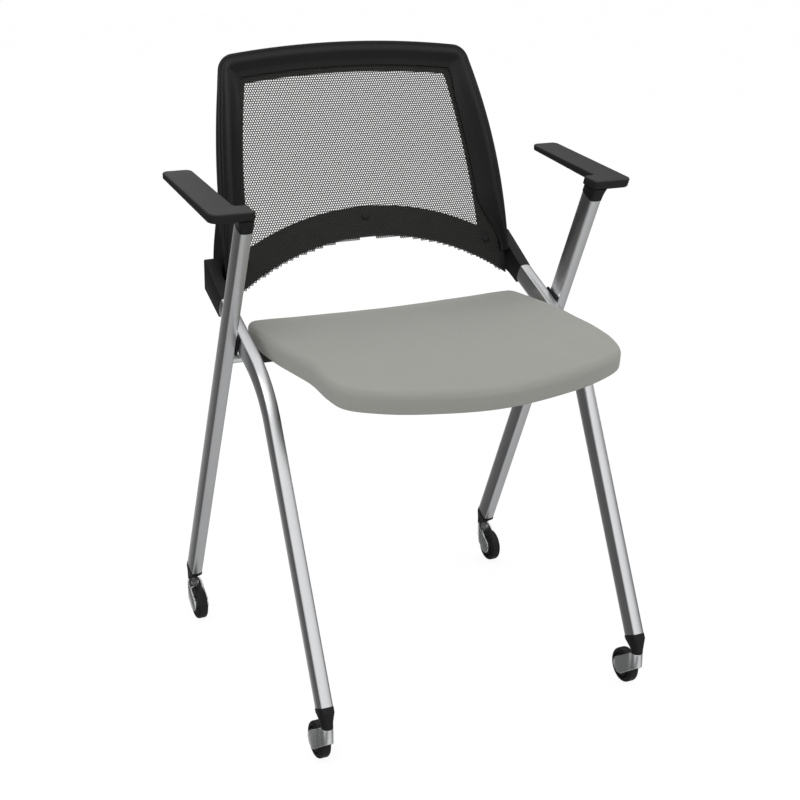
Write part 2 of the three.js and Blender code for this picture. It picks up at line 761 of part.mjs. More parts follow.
/** Extrudes a plan of the backrest between two depths. */
function backPlate(plan, front, rear, holes = []) {
  const shape = new THREE.Shape(plan);
  shape.holes.push(...holes.map((hole) => new THREE.Path(hole)));
  const geometry = new THREE.ExtrudeGeometry(shape, { depth: front - rear, bevelEnabled: false });
  geometry.rotateX(Math.PI / 2);
  geometry.translate(0, -rear, 0);
  return geometry.applyMatrix4(backFrameMatrix);
}

/** Side view of a backrest bracket, in the chair's side plane. */
function bracketPlan() {
  const across = new THREE.Vector3(0, -riseDirection.z, riseDirection.y).multiplyScalar(tubeDepth / 2);
  const start = legTop.clone().addScaledVector(riseDirection, fitGap);
  const [high, low] = [start.clone().add(across), start.clone().sub(across)];
  return [
    new THREE.Vector2(low.y, low.z), new THREE.Vector2(bracketRearY, bracketRearHeight),
    new THREE.Vector2(bracketTopY, bracketTopHeight), new THREE.Vector2(high.y, high.z),
  ];
}

/** Extrudes a plan of the side plane across the chair. */
function sidePlate(plan, fromX, toX) {
  const geometry = new THREE.ExtrudeGeometry(new THREE.Shape(plan), { depth: toX - fromX, bevelEnabled: false });
  geometry.rotateX(Math.PI / 2).rotateZ(Math.PI / 2);
  return geometry.translate(fromX, 0, 0);
}

/** Holes through the net and into the band for the buttons' shafts. */
function buttonHoles() {
  const radius = buttonShaftRadius + fitGap;
  const length = netThickness + bandThickness / 2 + cutOverrun;
  return buttonPlaces.map(([, x, rise]) => {
    const hole = new THREE.CylinderGeometry(radius, radius, length, 12);
    hole.translate(x, -netThickness - cutOverrun / 2 + length / 2, rise);
    return hole.applyMatrix4(backFrameMatrix);
  });
}

/** A fillet between a bracket and the backrest, on the right: a plate whose inner side sweeps in. */
function bracketGusset(plan, inner, outer) {
  const startY = plan[1].x - gussetReach;
  const edgeAt = (from, to) => (
    new THREE.Vector2(startY, THREE.MathUtils.mapLinear(startY, from.x, to.x, from.y, to.y)));
  const plate = sidePlate([edgeAt(plan[0], plan[1]), plan[1], plan[2], edgeAt(plan[3], plan[2])],
    inner - gussetWidth, outer);
  const sweepIn = Array.from({ length: gussetSteps + 1 }, (_, i) => {
    const angle = Math.PI / 2 * i / gussetSteps;
    return new THREE.Vector2(inner - gussetWidth * (1 - Math.cos(angle)), startY + gussetReach * Math.sin(angle));
  });
  const rearY = plan[1].x + cutOverrun;
  const footprint = new THREE.Shape([
    ...sweepIn, new THREE.Vector2(inner - gussetWidth, rearY), new THREE.Vector2(outer + cutOverrun, rearY),
    new THREE.Vector2(outer + cutOverrun, startY),
  ]);
  const post = new THREE.ExtrudeGeometry(footprint, { depth: tubeDepth * 4, bevelEnabled: false });
  return overlap(plate, post.translate(0, 0, plan[1].y - tubeDepth * 2));
}

/** Rear frame of the backrest: rim, lumbar band and the brackets that enter the tubes. */
function backFrame() {
  const front = -netThickness / 2 - fitGap;
  const { lerp, smoothstep } = THREE.MathUtils;
  const rim = backSweep(rimFoot, (rise) => {
    const width = lerp(frameFootWidth, frameWidth, smoothstep(rise, rimFoot, frameNarrowFrom));
    const rear = lerp(frameFootRear, frameRear, smoothstep(rise, rimFoot, frameDeepenFrom));
    return [
      [frameEdgeInset, -frameEdgeRear], [frameOuterInset, front], [width, front],
      [width, front - rimInnerLip], [width / 2, -rear], [frameRearInset, -rear],
    ];
  });
  const band = backPlate(bandPlan(), front, front - bandThickness);
  const plan = bracketPlan();
  const [inner, outer] = [legPlane - tubeWidth / 2, legPlane + tubeWidth / 2];
  const brackets = SIDES.flatMap(([, sign]) => {
    const block = sidePlate(plan, inner, outer);
    const start = legTop.clone().setX(legPlane).addScaledVector(riseDirection, -bracketSpigot);
    const spigot = sweep(tubeSection(-tubeWall - fitGap),
      straightPath(start, riseDirection, bracketSpigot + cutOverrun));
    return [block, bracketGusset(plan, inner, outer), spigot].map((geometry) => forSide(geometry, sign));
  });
  const frontRoom = rimFront + tubeDepth;
  const room = backSweep(bandBottom - bandBottomDrop - cutOverrun * 2, () => [
    [-fitGap, front], [-fitGap, frontRoom], [gussetWidth * 2, frontRoom], [gussetWidth * 2, front],
  ]);
  return piece('back_frame', cut(join(rim, band, ...brackets), room, ...buttonHoles()), 'blackPlastic');
}

/** The net: one flat sheet with staggered gaps inside the frame. */
function backNet() {
  const half = netThickness / 2;
  const over = backLine(netInset, rimFoot);
  const reach = over[0].x;
  const under = [];
  for (let step = 1; step < bandSteps; step += 1) {
    const x = reach * (2 * step / bandSteps - 1);
    under.push(new THREE.Vector2(x, arcRise(bandBottom - netFringe, bandBottomDrop, x)));
  }
  const plan = [...over, ...under];
  const holes = [];
  const window = backLine(frameWidth + netMargin, rimFoot);
  const sideAt = (rise) => {
    const i = window.findIndex((p, k) => k < window.length - 1 && window[k + 1].y >= rise && p.y <= rise);
    return i < 0 ? 0 : window[i].x;
  };
  const topRise = Math.max(...window.map((p) => p.y));
  for (let row = 0; bandTop + row * netRow < topRise; row += 1) {
    const rise = bandTop - netRow + row * netRow;
    const shift = row % 2 ? netPitch / 2 : 0;
    const across = Math.ceil(backHalfWidth / netPitch);
    for (let column = -across; column <= across; column += 1) {
      const x = column * netPitch + shift;
      const edge = Math.abs(x) + netPitch / 2 - netStrand;
      const clearBelow = rise - netRow > arcRise(bandTop, bandTopDrop, Math.min(Math.abs(x), reach)) - netRow / 2;
      const clearAbove = rise + netRow < topRise - x ** 2 / (2 * backTopRadius);
      if (edge < sideAt(rise + netRow) && edge < sideAt(rise) && clearBelow && clearAbove) {
        holes.push([
          new THREE.Vector2(x, rise - netRow + netStrand), new THREE.Vector2(x + netPitch / 2 - netStrand, rise),
          new THREE.Vector2(x, rise + netRow - netStrand), new THREE.Vector2(x - netPitch / 2 + netStrand, rise),
        ]);
      }
    }
  }
  return piece('back_net', cut(backPlate(plan, half, -half, holes), ...buttonHoles()), 'netYarn');
}

/** A button that pins the net to the band. */
function netButton(name, x, rise) {
  const seat = netThickness / 2 + fitGap;
  const tail = -netThickness / 2 - fitGap - bandThickness / 2;
  const geometry = turnedUpright([
    [0, tail], [buttonShaftRadius, tail], [buttonShaftRadius, seat], [buttonRadius, seat],
    [buttonRadius, seat + buttonHeight / 2], [buttonRadius * 0.7, seat + buttonHeight], [0, seat + buttonHeight],
  ], 12);
  geometry.rotateX(Math.PI / 2);
  geometry.translate(x, 0, rise);
  return piece(`net_button_${name}`, geometry.applyMatrix4(backFrameMatrix), 'blackPlastic');
}

// Arms. The pad's plan is drawn on its right-hand side.

/** Height of the pad's upper face at a distance along the chair. */
function padTopAt(y) {
  return padTopFront + (y - padFrontY) * Math.tan(padRise);
}

/** Thickness of the pad, which thins towards the rear. */
function padThicknessAt(y) {
  return THREE.MathUtils.mapLinear(y, padFrontY, padRearY, padFrontThickness, padRearThickness);
}

/** A point of the pad at a share of its depth. Its front face leans as the tube does. */
function padPoint(x, y, share) {
  const drop = padThicknessAt(y) * share;
  const lean = Math.tan(armLean) * THREE.MathUtils.mapLinear(y, padFrontY, padRearY, 1, 0);
  return new THREE.Vector3(x, y + drop * lean, padTopAt(y) - drop);
}

/** Plan of the arm pad: a long strip outside the tube and a lug over it. */
function padPlan() {
  return roundedPolygon([
    [padLugX, padFrontY, padLugRadius], [padOuterX, padFrontY, padFrontRadius],
    [padOuterX, padRearY, padRearRadius], [padInnerX, padRearY, padRearRadius],
    [padInnerX, padLugRearY, padInnerRadius], [padLugX, padLugRearY, padLugRadius],
  ], padCornerSteps);
}

/** Arm pad, its socket on the tube's end and the screw that joins them. */
function arm(name, sign) {
  const group = new THREE.Group();
  const plan = padPlan();
  const ring = (distance, share) => inset(plan, distance).map((p) => padPoint(p.x, p.y, share));
  const edgeShare = padEdgeRadius / padFrontThickness;
  const pad = skin([
    ring(padEdgeRadius, 1), ring(padEdgeRadius / 4, 1 - edgeShare / 2), ring(0, 1 - edgeShare * 1.4),
    ring(0, edgeShare), ring(padEdgeRadius * 0.3, edgeShare * 0.3), ring(padEdgeRadius, 0),
  ]);
  const cutStart = new THREE.Vector3(armPlane, armFootY, armFootHeight)
    .addScaledVector(armDirection, armRunLength);
  const socketRun = straightPath(
    cutStart.clone().addScaledVector(armDirection, fitGap), armDirection, tubeDepth * 2);
  const reach = (padOuterX - padLugX) * 2;
  const [near, far] = [padFrontY, padLugRearY].map((y) => {
    const under = padPoint(padLugX, y, 1);
    return new THREE.Vector2(under.y, under.z - fitGap);
  });
  const [first, last] = [near.clone().lerp(far, -1), far.clone().lerp(near, -1)];
  const underPad = sidePlate([
    new THREE.Vector2(first.x, cutStart.z - reach), new THREE.Vector2(last.x, cutStart.z - reach), last, first,
  ], padLugX - reach, padOuterX + reach);
  const socketBody = overlap(sweep(tubeSection(socketLip), socketRun), underPad);
  const spigot = sweep(tubeSection(-tubeWall - fitGap), straightPath(
    cutStart.clone().addScaledVector(armDirection, -socketSpigot), armDirection, socketSpigot + cutOverrun));
  const screwY = cutStart.y + armDirection.y * tubeDepth * 0.8;
  const screwFrom = padTopAt(screwY) - padThicknessAt(screwY) + padScrewLength * 0.35;
  const screwHole = new THREE.CylinderGeometry(padScrewRadius + fitGap, padScrewRadius + fitGap,
    padScrewLength + fitGap * 2, 12).rotateX(Math.PI / 2)
    .translate(armPlane, screwY, screwFrom - padScrewLength / 2);
  const screw = turnedUpright([
    [0, screwFrom - padScrewLength], [padScrewRadius, screwFrom - padScrewLength],
    [padScrewRadius, screwFrom], [0, screwFrom],
  ], 12).translate(armPlane, screwY, 0);
  const socket = cut(join(socketBody, spigot), screwHole);
  group.add(
    piece(`arm_pad_${name}`, forSide(cut(pad, screwHole), sign), 'padPlastic'),
    piece(`arm_socket_${name}`, forSide(socket, sign), 'blackPlastic'),
    piece(`arm_screw_${name}`, forSide(screw, sign), 'darkSteel'),
  );
  return group;
}

// Casters. Each is drawn with its stem on the Z axis and its wheel behind it, at +Y.

/** Leg plug: a taper from the tube's section to a round neck, with a spigot in the tube. */
function legPlug(foot, direction) {
  const section = tubeSection(plugLip);
  const square = new THREE.Vector3().crossVectors(direction, X_AXIS).negate();
  const neckY = foot.y - (foot.z - swivelHeight) * direction.y / direction.z;
  const top = foot.clone().addScaledVector(direction, -fitGap);
  const rings = plugShares.map((share) => {
    const blend = Math.max((share - plugShares[1]) / (1 - plugShares[1]), 0);
    return section.map((p) => {
      const upper = top.clone().addScaledVector(X_AXIS, p.x).addScaledVector(square, p.y);
      const round = p.clone().setLength(plugNeckRadius);
      const lower = new THREE.Vector3(foot.x + round.x, neckY - round.y, swivelHeight);
      const straight = upper.clone().addScaledVector(direction, -(upper.z - swivelHeight) * share / direction.z);
      return straight.lerp(upper.lerp(lower, share), blend);
    });
  });
  const body = skin(rings);
  const spigotStart = foot.clone().addScaledVector(direction, -cutOverrun);
  const spigot = sweep(tubeSection(-tubeWall - fitGap), straightPath(spigotStart, direction, plugSpigot));
  const bore = new THREE.CylinderGeometry(stemRadius + fitGap, stemRadius + fitGap, stemHold + cutOverrun, 12);
  bore.rotateX(Math.PI / 2).translate(foot.x, neckY, swivelHeight + (stemHold - cutOverrun) / 2 + fitGap);
  return cut(join(body, spigot), bore);
}

/** The band bent round the wheel, seen from above as a U, its sides sloping to the axle. */
function fork() {
  const outer = forkInnerRadius + forkGauge;
  const top = swivelHeight - forkTopGap;
  const tail = casterTrail + forkEndRadius;
  const plan = new THREE.Shape([
    ...arc(0, forkSetback, outer, -Math.PI, 0, 8), new THREE.Vector2(outer, tail),
    new THREE.Vector2(forkInnerRadius, tail), ...arc(0, forkSetback, forkInnerRadius, 0, -Math.PI, 8),
    new THREE.Vector2(-forkInnerRadius, tail), new THREE.Vector2(-outer, tail),
  ]);
  const band = new THREE.ExtrudeGeometry(plan, { depth: top, bevelEnabled: false });
  const [endY, endZ] = [casterTrail - forkEndShort, wheelRadius + forkEndRise];
  const frontY = forkSetback - outer - cutOverrun;
  const upper = tangentAngle(forkShoulder, top, endY, endZ, forkEndRadius, 1);
  const lower = tangentAngle(forkSetback - outer, top - forkDrop, endY, endZ, forkEndRadius, -1);
  const side = sidePlate([
    ...arc(endY, endZ, forkEndRadius, lower, upper, 9),
    new THREE.Vector2(forkShoulder, top), new THREE.Vector2(forkShoulder, top + cutOverrun),
    new THREE.Vector2(frontY, top + cutOverrun), new THREE.Vector2(frontY, top - forkDrop),
    new THREE.Vector2(forkSetback - outer, top - forkDrop),
  ], -outer - cutOverrun, outer + cutOverrun);
  return cut(overlap(band, side),
    crossCylinder(wheelAxleRadius + fitGap, -outer - cutOverrun, outer + cutOverrun, casterTrail, wheelRadius, 16));
}

/** Angle on a circle at which a line from an outside point touches it, on one side. */
function tangentAngle(x, y, centreX, centreY, radius, side) {
  const away = new THREE.Vector2(x - centreX, y - centreY);
  const angle = Math.atan2(away.y, away.x) - side * Math.acos(radius / away.length());
  return side < 0 ? angle - 2 * Math.PI : angle;
}

/** Ribbed core inside the bend of the fork, round the stem and clear of the wheel. */
function forkCore() {
  const top = swivelHeight - forkTopGap - fitGap;
  const reach = forkInnerRadius - fitGap;
  const ribs = Array.from({ length: ribCount * 2 + 1 }, (_, i) => (
    new THREE.Vector2(reach - reach * i / ribCount, coreReach - (i % 2) * ribDepth)));
  const shape = new THREE.Shape([...arc(0, forkSetback, reach, -Math.PI, 0, 8), ...ribs]);
  const block = new THREE.ExtrudeGeometry(shape, { depth: coreHeight, bevelEnabled: false });
  const bore = new THREE.CylinderGeometry(stemRadius + fitGap, stemRadius + fitGap, coreHeight + cutOverrun, 12)
    .rotateX(Math.PI / 2).translate(0, 0, top - coreHeight / 2);
  return cut(block.translate(0, 0, top - coreHeight), bore,
    crossCylinder(wheelRadius + coreWheelGap, -forkInnerRadius, forkInnerRadius, casterTrail, wheelRadius, 32));
}

/** Stem pin, from inside the leg plug down to the foot of the sleeve. */
function stem() {
  const [low, high] = [swivelHeight - forkTopGap - coreHeight, swivelHeight + stemHold];
  return turnedUpright([
    [0, low], [stemRadius, low], [stemRadius, high - stemRadius / 4], [stemRadius * 0.7, high], [0, high],
  ], 12);
}

/** Tyre with rounded shoulders, and the spool-shaped hub inside it. */
function wheel() {
  const [inner, half] = [wheelRadius - tyreThickness, tyreWidth / 2];
  const shoulder = (angle, side) => [
    wheelRadius - tyreShoulder * (1 - Math.sin(angle)), side * (half - tyreShoulder * (1 - Math.cos(angle)))];
  const turns = [0, Math.PI / 4, Math.PI / 2];
  const tyre = turnedAcross([
    [inner, -half], ...turns.map((a) => shoulder(a, -1)), ...turns.map((a) => shoulder(a, 1)).reverse(),
    [inner, half], [inner, -half],
  ], wheelSteps);
  const rim = inner - fitGap;
  const [web, bore, nave] = [hubWebThickness / 2, wheelAxleRadius + fitGap, forkInnerRadius - wheelSideGap];
  const hub = turnedAcross([
    [bore, -nave], [hubRadius, -nave], [hubRadius + hubRimWall / 4, -web], [rim - hubRimWall, -web],
    [rim - hubRimWall, -half], [rim, -half], [rim, half], [rim - hubRimWall, half], [rim - hubRimWall, web],
    [hubRadius + hubRimWall / 4, web], [hubRadius, nave], [bore, nave], [bore, -nave],
  ], wheelSteps);
  const place = (geometry) => geometry.translate(0, casterTrail, wheelRadius);
  const reach = forkInnerRadius + forkGauge;
  return [place(tyre), place(hub), crossCylinder(wheelAxleRadius, -reach, reach, casterTrail, wheelRadius, 16)];
}

/** A leg plug and the caster under it. */
function caster(name, x, footY, footHeight, direction, turn) {
  const group = new THREE.Group();
  const foot = new THREE.Vector3(x, footY, footHeight);
  const neckY = foot.y - (foot.z - swivelHeight) * direction.y / direction.z;
  const place = (geometry) => geometry.clone().rotateZ(turn).translate(x, neckY, 0);
  const [tyre, hub, axle] = wheel();
  group.add(
    piece(`leg_plug_${name}`, legPlug(foot, direction), 'blackPlastic'),
    piece(`caster_stem_${name}`, place(stem()), 'darkSteel'),
    piece(`caster_core_${name}`, place(forkCore()), 'darkSteel'),
    piece(`caster_fork_${name}`, place(fork()), 'chrome'),
    piece(`caster_tyre_${name}`, place(tyre), 'tyreRubber'),
    piece(`caster_hub_${name}`, place(hub), 'blackPlastic'),
    piece(`caster_axle_${name}`, place(axle), 'darkSteel'),
  );
  return group;
}

// Assembly

const chair = new THREE.Group();
for (const [name, sign] of SIDES) {
  chair.add(sideFrame(name, sign), stopPin(name, sign));
}
for (const [name, sign] of SIDES) {
  chair.add(
    arm(name, sign),
    caster(`front_${name}`, sign * legPlane, legFootY, legFootHeight, legDirection, 0),
    caster(`rear_${name}`, sign * armPlane, armFootY, armFootHeight, armDirection, Math.PI),
  );
}
chair.add(...buttonPlaces.map(([name, x, rise]) => netButton(name, x, rise)));
chair.add(seatRod(), seatCushion(), seatShell(), backFrame(), backRim(), backNet());

const bounds = new THREE.Box3().setFromObject(chair);
chair.position.y = -(bounds.min.y + bounds.max.y) / 2;

export default chair;
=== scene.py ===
"""A nesting chair with a net back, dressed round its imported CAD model. Metres, +Z up, facing -Y."""

import json
import logging
import math
from dataclasses import dataclass, field
from enum import Enum
from typing import Callable, Sequence

import bmesh
import bpy
import numpy as np
from mathutils import Matrix, Vector
from mathutils.kdtree import KDTree

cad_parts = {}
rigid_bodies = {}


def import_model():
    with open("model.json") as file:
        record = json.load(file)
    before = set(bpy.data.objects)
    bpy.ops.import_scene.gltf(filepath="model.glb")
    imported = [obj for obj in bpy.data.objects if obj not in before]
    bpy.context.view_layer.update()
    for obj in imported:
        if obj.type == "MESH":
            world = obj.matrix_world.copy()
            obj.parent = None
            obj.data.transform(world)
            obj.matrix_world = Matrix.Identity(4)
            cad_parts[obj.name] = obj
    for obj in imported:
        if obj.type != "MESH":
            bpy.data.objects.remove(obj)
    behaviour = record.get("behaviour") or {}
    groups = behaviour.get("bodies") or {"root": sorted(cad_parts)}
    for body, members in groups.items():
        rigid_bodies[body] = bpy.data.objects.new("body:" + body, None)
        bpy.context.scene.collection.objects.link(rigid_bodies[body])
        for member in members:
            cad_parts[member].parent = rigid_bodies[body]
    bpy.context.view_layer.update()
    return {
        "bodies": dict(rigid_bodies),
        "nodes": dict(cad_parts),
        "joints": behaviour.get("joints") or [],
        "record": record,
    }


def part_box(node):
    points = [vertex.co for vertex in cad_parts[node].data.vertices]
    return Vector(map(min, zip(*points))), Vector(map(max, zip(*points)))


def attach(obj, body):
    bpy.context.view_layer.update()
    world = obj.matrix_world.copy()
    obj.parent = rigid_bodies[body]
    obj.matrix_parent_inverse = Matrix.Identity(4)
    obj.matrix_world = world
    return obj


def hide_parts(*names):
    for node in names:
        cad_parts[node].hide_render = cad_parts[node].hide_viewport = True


LOG = logging.getLogger("chair")
TINY = 1e-9
SHARP = 32.0
Tone = tuple[float, float, float]
Colour = Tone | bpy.types.NodeSocket
Rings = Sequence[np.ndarray]


# Shader maths

class Signal:
    """A socket whose value takes part in plain Python sums."""

    def __init__(self, board: "Board", socket: bpy.types.NodeSocket) -> None:
        """Keeps the socket and the board that it belongs to."""
        self.board = board
        self.socket = socket

    def _math(self, operation: str, first: "Number", second: "Number") -> "Signal":
        """Adds one Math node.

        Args:
            operation: The Math node's operation.
            first: Its first value.
            second: Its second value.

        Returns:
            The node's result.
        """
        node = self.board.node("ShaderNodeMath", {"operation": operation}, {0: first, 1: second})
        return Signal(self.board, node.outputs[0])

    def __add__(self, other: "Number") -> "Signal":
        """Sum of two values."""
        return self._math("ADD", self, other)

    __radd__ = __add__

    def __sub__(self, other: "Number") -> "Signal":
        """Difference of two values."""
        return self._math("SUBTRACT", self, other)

    def __rsub__(self, other: "Number") -> "Signal":
        """Difference, with the plain number first."""
        return self._math("SUBTRACT", other, self)

    def __mul__(self, other: "Number") -> "Signal":
        """Product of two values."""
        return self._math("MULTIPLY", self, other)

    __rmul__ = __mul__


Number = float | Signal


class Board:
    """One material's nodes, round one principled shader."""

    def __init__(self, name: str) -> None:
        """Starts a material with only its shader and its output."""
        self.material = bpy.data.materials.new(name)
        self.material.use_nodes = True
        self.tree = self.material.node_tree
        self.tree.nodes.clear()
        self.shader = self.node("ShaderNodeBsdfPrincipled")
        self.output = self.node("ShaderNodeOutputMaterial", None, {"Surface": self.shader.outputs[0]})

    def node(self, kind: str, settings: dict | None = None, sockets: dict | None = None) -> bpy.types.Node:
        """Adds a node of any kind.

        Args:
            kind: The node's type name.
            settings: Its properties, set before its inputs.
            sockets: Its inputs, by name or number, as values, sockets or signals.

        Returns:
            The new node.
        """
        made = self.tree.nodes.new(kind)
        for key, value in (settings or {}).items():
            setattr(made, key, value)
        self.feed(made, sockets or {})
        return made

    def feed(self, node: bpy.types.Node, sockets: dict) -> None:
        """Sets or links the inputs of a node.

        Args:
            node: The node whose inputs are set.
            sockets: Values, sockets or signals by input name or number.
        """
        for key, value in sockets.items():
            if isinstance(value, Signal):
                value = value.socket
            if isinstance(value, bpy.types.NodeSocket):
                self.tree.links.new(value, node.inputs[key])
            else:
                node.inputs[key].default_value = value

    def place(self, space: str, scale: Sequence[float]) -> bpy.types.NodeSocket:
        """Surface coordinates stretched by a scale.

        Args:
            space: The output of the coordinate node, such as Object or UV.
            scale: How much each axis is stretched.

        Returns:
            The stretched coordinates.
        """
        source = self.node("ShaderNodeTexCoord").outputs[space]
        return self.node("ShaderNodeVectorMath", {"operation": "MULTIPLY"}, {0: source, 1: scale}).outputs[0]

    def noise(self, place: bpy.types.NodeSocket, scale: float, detail: float = 2.0) -> Signal:
        """Soft noise from 0 to 1 over the given coordinates."""
        return Signal(self, self.node("ShaderNodeTexNoise", None, {
            "Vector": place, "Scale": scale, "Detail": detail, "Roughness": 0.55}).outputs["Fac"])

    def wave(self, place: bpy.types.NodeSocket, axis: str, scale: float) -> Signal:
        """Straight even bands along one axis."""
        return Signal(self, self.node("ShaderNodeTexWave", {"bands_direction": axis}, {
            "Vector": place, "Scale": scale, "Distortion": 0.0, "Detail": 0.0}).outputs["Fac"])

    def blend(self, share: Number, first: Colour, second: Colour) -> bpy.types.NodeSocket:
        """Mixes two colours by a share, from 0 to 1."""
        colours = [c if isinstance(c, bpy.types.NodeSocket) else (*c, 1.0) for c in (first, second)]
        return self.node("ShaderNodeMix", {"data_type": "RGBA"}, {0: share, 6: colours[0], 7: colours[1]}).outputs[2]

    def bump(self, height: Signal, strength: float, distance: float) -> bpy.types.NodeSocket:
        """Normal of a surface with small heights on it."""
        return self.node("ShaderNodeBump", None, {
            "Height": height, "Strength": strength, "Distance": distance}).outputs[0]


class Surround(Board):
    """The world's nodes: what each kind of ray sees round the chair."""

    def __init__(self, name: str) -> None:
        """Starts a world with only its background and its output."""
        world = bpy.data.worlds.new(name)
        bpy.context.scene.world = world
        world.use_nodes = True
        self.tree = world.node_tree
        self.tree.nodes.clear()
        self.shader = self.node("ShaderNodeBackground", None, {"Color": (1.0, 1.0, 1.0, 1.0)})
        self.output = self.node("ShaderNodeOutputWorld", None, {"Surface": self.shader.outputs[0]})

    def panel(self, way: Sequence[float], edge: float, full: float) -> Signal:
        """A soft round panel on the far sky.

        Args:
            way: The direction of its middle.
            edge: Cosine of the angle at which it starts.
            full: Cosine of the angle inside which it is full.

        Returns:
            0 outside the panel and 1 inside.
        """
        source = self.node("ShaderNodeTexCoord").outputs["Generated"]
        aim = Vector(way).normalized()
        near = self.node("ShaderNodeVectorMath", {"operation": "DOT_PRODUCT"}, {0: source, 1: aim}).outputs["Value"]
        return Signal(self, self.node("ShaderNodeMapRange", {"interpolation_type": "SMOOTHSTEP"}, {
            0: near, 1: edge, 2: full}).outputs[0])


# Finishes

@dataclass(frozen=True)
class Coat:
    """A finish of two tones with a grain, from which the plainer finishes differ by their numbers."""

    slot: str = "plain"
    tone: Tone = (0.5, 0.5, 0.5)
    worn: Tone = (0.5, 0.5, 0.5)
    space: str = "Object"
    stretch: tuple[float, float, float] = (1.0, 1.0, 1.0)
    grain: tuple[float, float] = (1000.0, 2.0)
    clouds: tuple[float, float] | None = None
    roughness: tuple[float, float] = (0.5, 0.1)
    cloud_roughness: float = 0.0
    bump: tuple[float, float] | None = None
    constants: tuple[tuple[str, float], ...] = ()

    def colour(self, board: Board, share: Signal) -> bpy.types.NodeSocket:
        """Base colour, from the first tone to the worn one."""
        return board.blend(share, self.tone, self.worn)

    def make(self) -> bpy.types.Material:
        """Builds the material."""
        board = Board(self.slot)
        grain = board.noise(board.place(self.space, self.stretch), *self.grain)
        clouds = board.noise(board.place("Object", (1.0, 1.0, 1.0)), *self.clouds) if self.clouds else grain
        least, by_grain = self.roughness
        roughness = least + grain * by_grain
        if self.cloud_roughness:
            roughness = roughness + clouds * self.cloud_roughness
        board.feed(board.shader, {
            "Base Color": self.colour(board, clouds), "Roughness": roughness, **dict(self.constants)})
        if self.bump:
            board.feed(board.shader, {"Normal": board.bump(grain, *self.bump)})
        return board.material


@dataclass(frozen=True)
class SatinSteel(Coat):
    """Satin silver of the tubes, brushed along their length."""

    slot: str = "satin_tube"
    tone: Tone = (0.66, 0.665, 0.675)
    worn: Tone = (0.74, 0.745, 0.755)
    space: str = "UV"
    stretch: tuple[float, float, float] = (2600.0, 14.0, 1.0)
    grain: tuple[float, float] = (1.0, 3.0)
    clouds: tuple[float, float] = (22.0, 2.0)
    roughness: tuple[float, float] = (0.24, 0.14)
    bump: tuple[float, float] = (0.06, 0.0002)
    constants: tuple[tuple[str, float], ...] = (("Metallic", 1.0),)


@dataclass(frozen=True)
class Chrome(Coat):
    """Satin plating of the fork bands and the rod."""

    slot: str = "chrome"
    tone: Tone = (0.80, 0.81, 0.82)
    worn: Tone = (0.80, 0.81, 0.82)
    grain: tuple[float, float] = (260.0, 2.0)
    roughness: tuple[float, float] = (0.20, 0.10)
    constants: tuple[tuple[str, float], ...] = (("Metallic", 0.94),)


@dataclass(frozen=True)
class DarkZinc(Coat):
    """Dark plating of the bolts, pins and stems."""

    slot: str = "dark_steel"
    tone: Tone = (0.32, 0.32, 0.33)
    worn: Tone = (0.45, 0.45, 0.46)
    grain: tuple[float, float] = (420.0, 4.0)
    roughness: tuple[float, float] = (0.34, 0.2)
    constants: tuple[tuple[str, float], ...] = (("Metallic", 0.6),)


@dataclass(frozen=True)
class GrainedPlastic(Coat):
    """Black moulded plastic with a fine spark-eroded grain."""

    slot: str = "black_plastic"
    tone: Tone = (0.0085, 0.0085, 0.009)
    worn: Tone = (0.013, 0.013, 0.013)
    grain: tuple[float, float] = (1900.0, 3.0)
    clouds: tuple[float, float] = (35.0, 2.0)
    roughness: tuple[float, float] = (0.40, 0.12)
    cloud_roughness: float = 0.05
    bump: tuple[float, float] = (0.22, 0.00012)
    constants: tuple[tuple[str, float], ...] = (("Specular IOR Level", 0.22),)


@dataclass(frozen=True)
class PadSkin(Coat):
    """Soft dull skin of the arm pads, with painted shade down their sides, where they face sideways or down."""

    slot: str = "pad_plastic"
    tone: Tone = (0.031, 0.031, 0.031)
    worn: Tone = (0.039, 0.039, 0.039)
    # painted shade: a darker tone on faces that point sideways or down, standing in for the shade on the pads' sides
    side: Tone = (0.015, 0.015, 0.015)
    grain: tuple[float, float] = (1300.0, 4.0)
    clouds: tuple[float, float] = (28.0, 2.0)
    roughness: tuple[float, float] = (0.56, 0.14)
    bump: tuple[float, float] = (0.3, 0.00018)
    constants: tuple[tuple[str, float], ...] = (("Specular IOR Level", 0.25),)

    def colour(self, board: Board, share: Signal) -> bpy.types.NodeSocket:
        """Base colour, with painted shade: the darker side tone where the skin faces sideways or down, and the lit tone
        where it faces up.
        """
        normal = board.node("ShaderNodeTexCoord").outputs["Normal"]
        # the upward part of the normal sets the painted light: full lit tone on top, the painted side shade at the
        # sides and below
        painted_light_share = Signal(board, board.node("ShaderNodeSeparateXYZ", None, {0: normal}).outputs[2])
        return board.blend(painted_light_share, self.side, super().colour(board, share))


@dataclass(frozen=True)
class NetYarn(Coat):
    """Black knitted yarn of the net."""

    slot: str = "net_yarn"
    tone: Tone = (0.020, 0.020, 0.019)
    worn: Tone = (0.034, 0.034, 0.031)
    grain: tuple[float, float] = (2400.0, 2.0)
    clouds: tuple[float, float] = (90.0, 2.0)
    roughness: tuple[float, float] = (0.72, 0.15)
    bump: tuple[float, float] = (0.5, 0.0002)
    constants: tuple[tuple[str, float], ...] = (("Sheen Weight", 0.12), ("Specular IOR Level", 0.3))


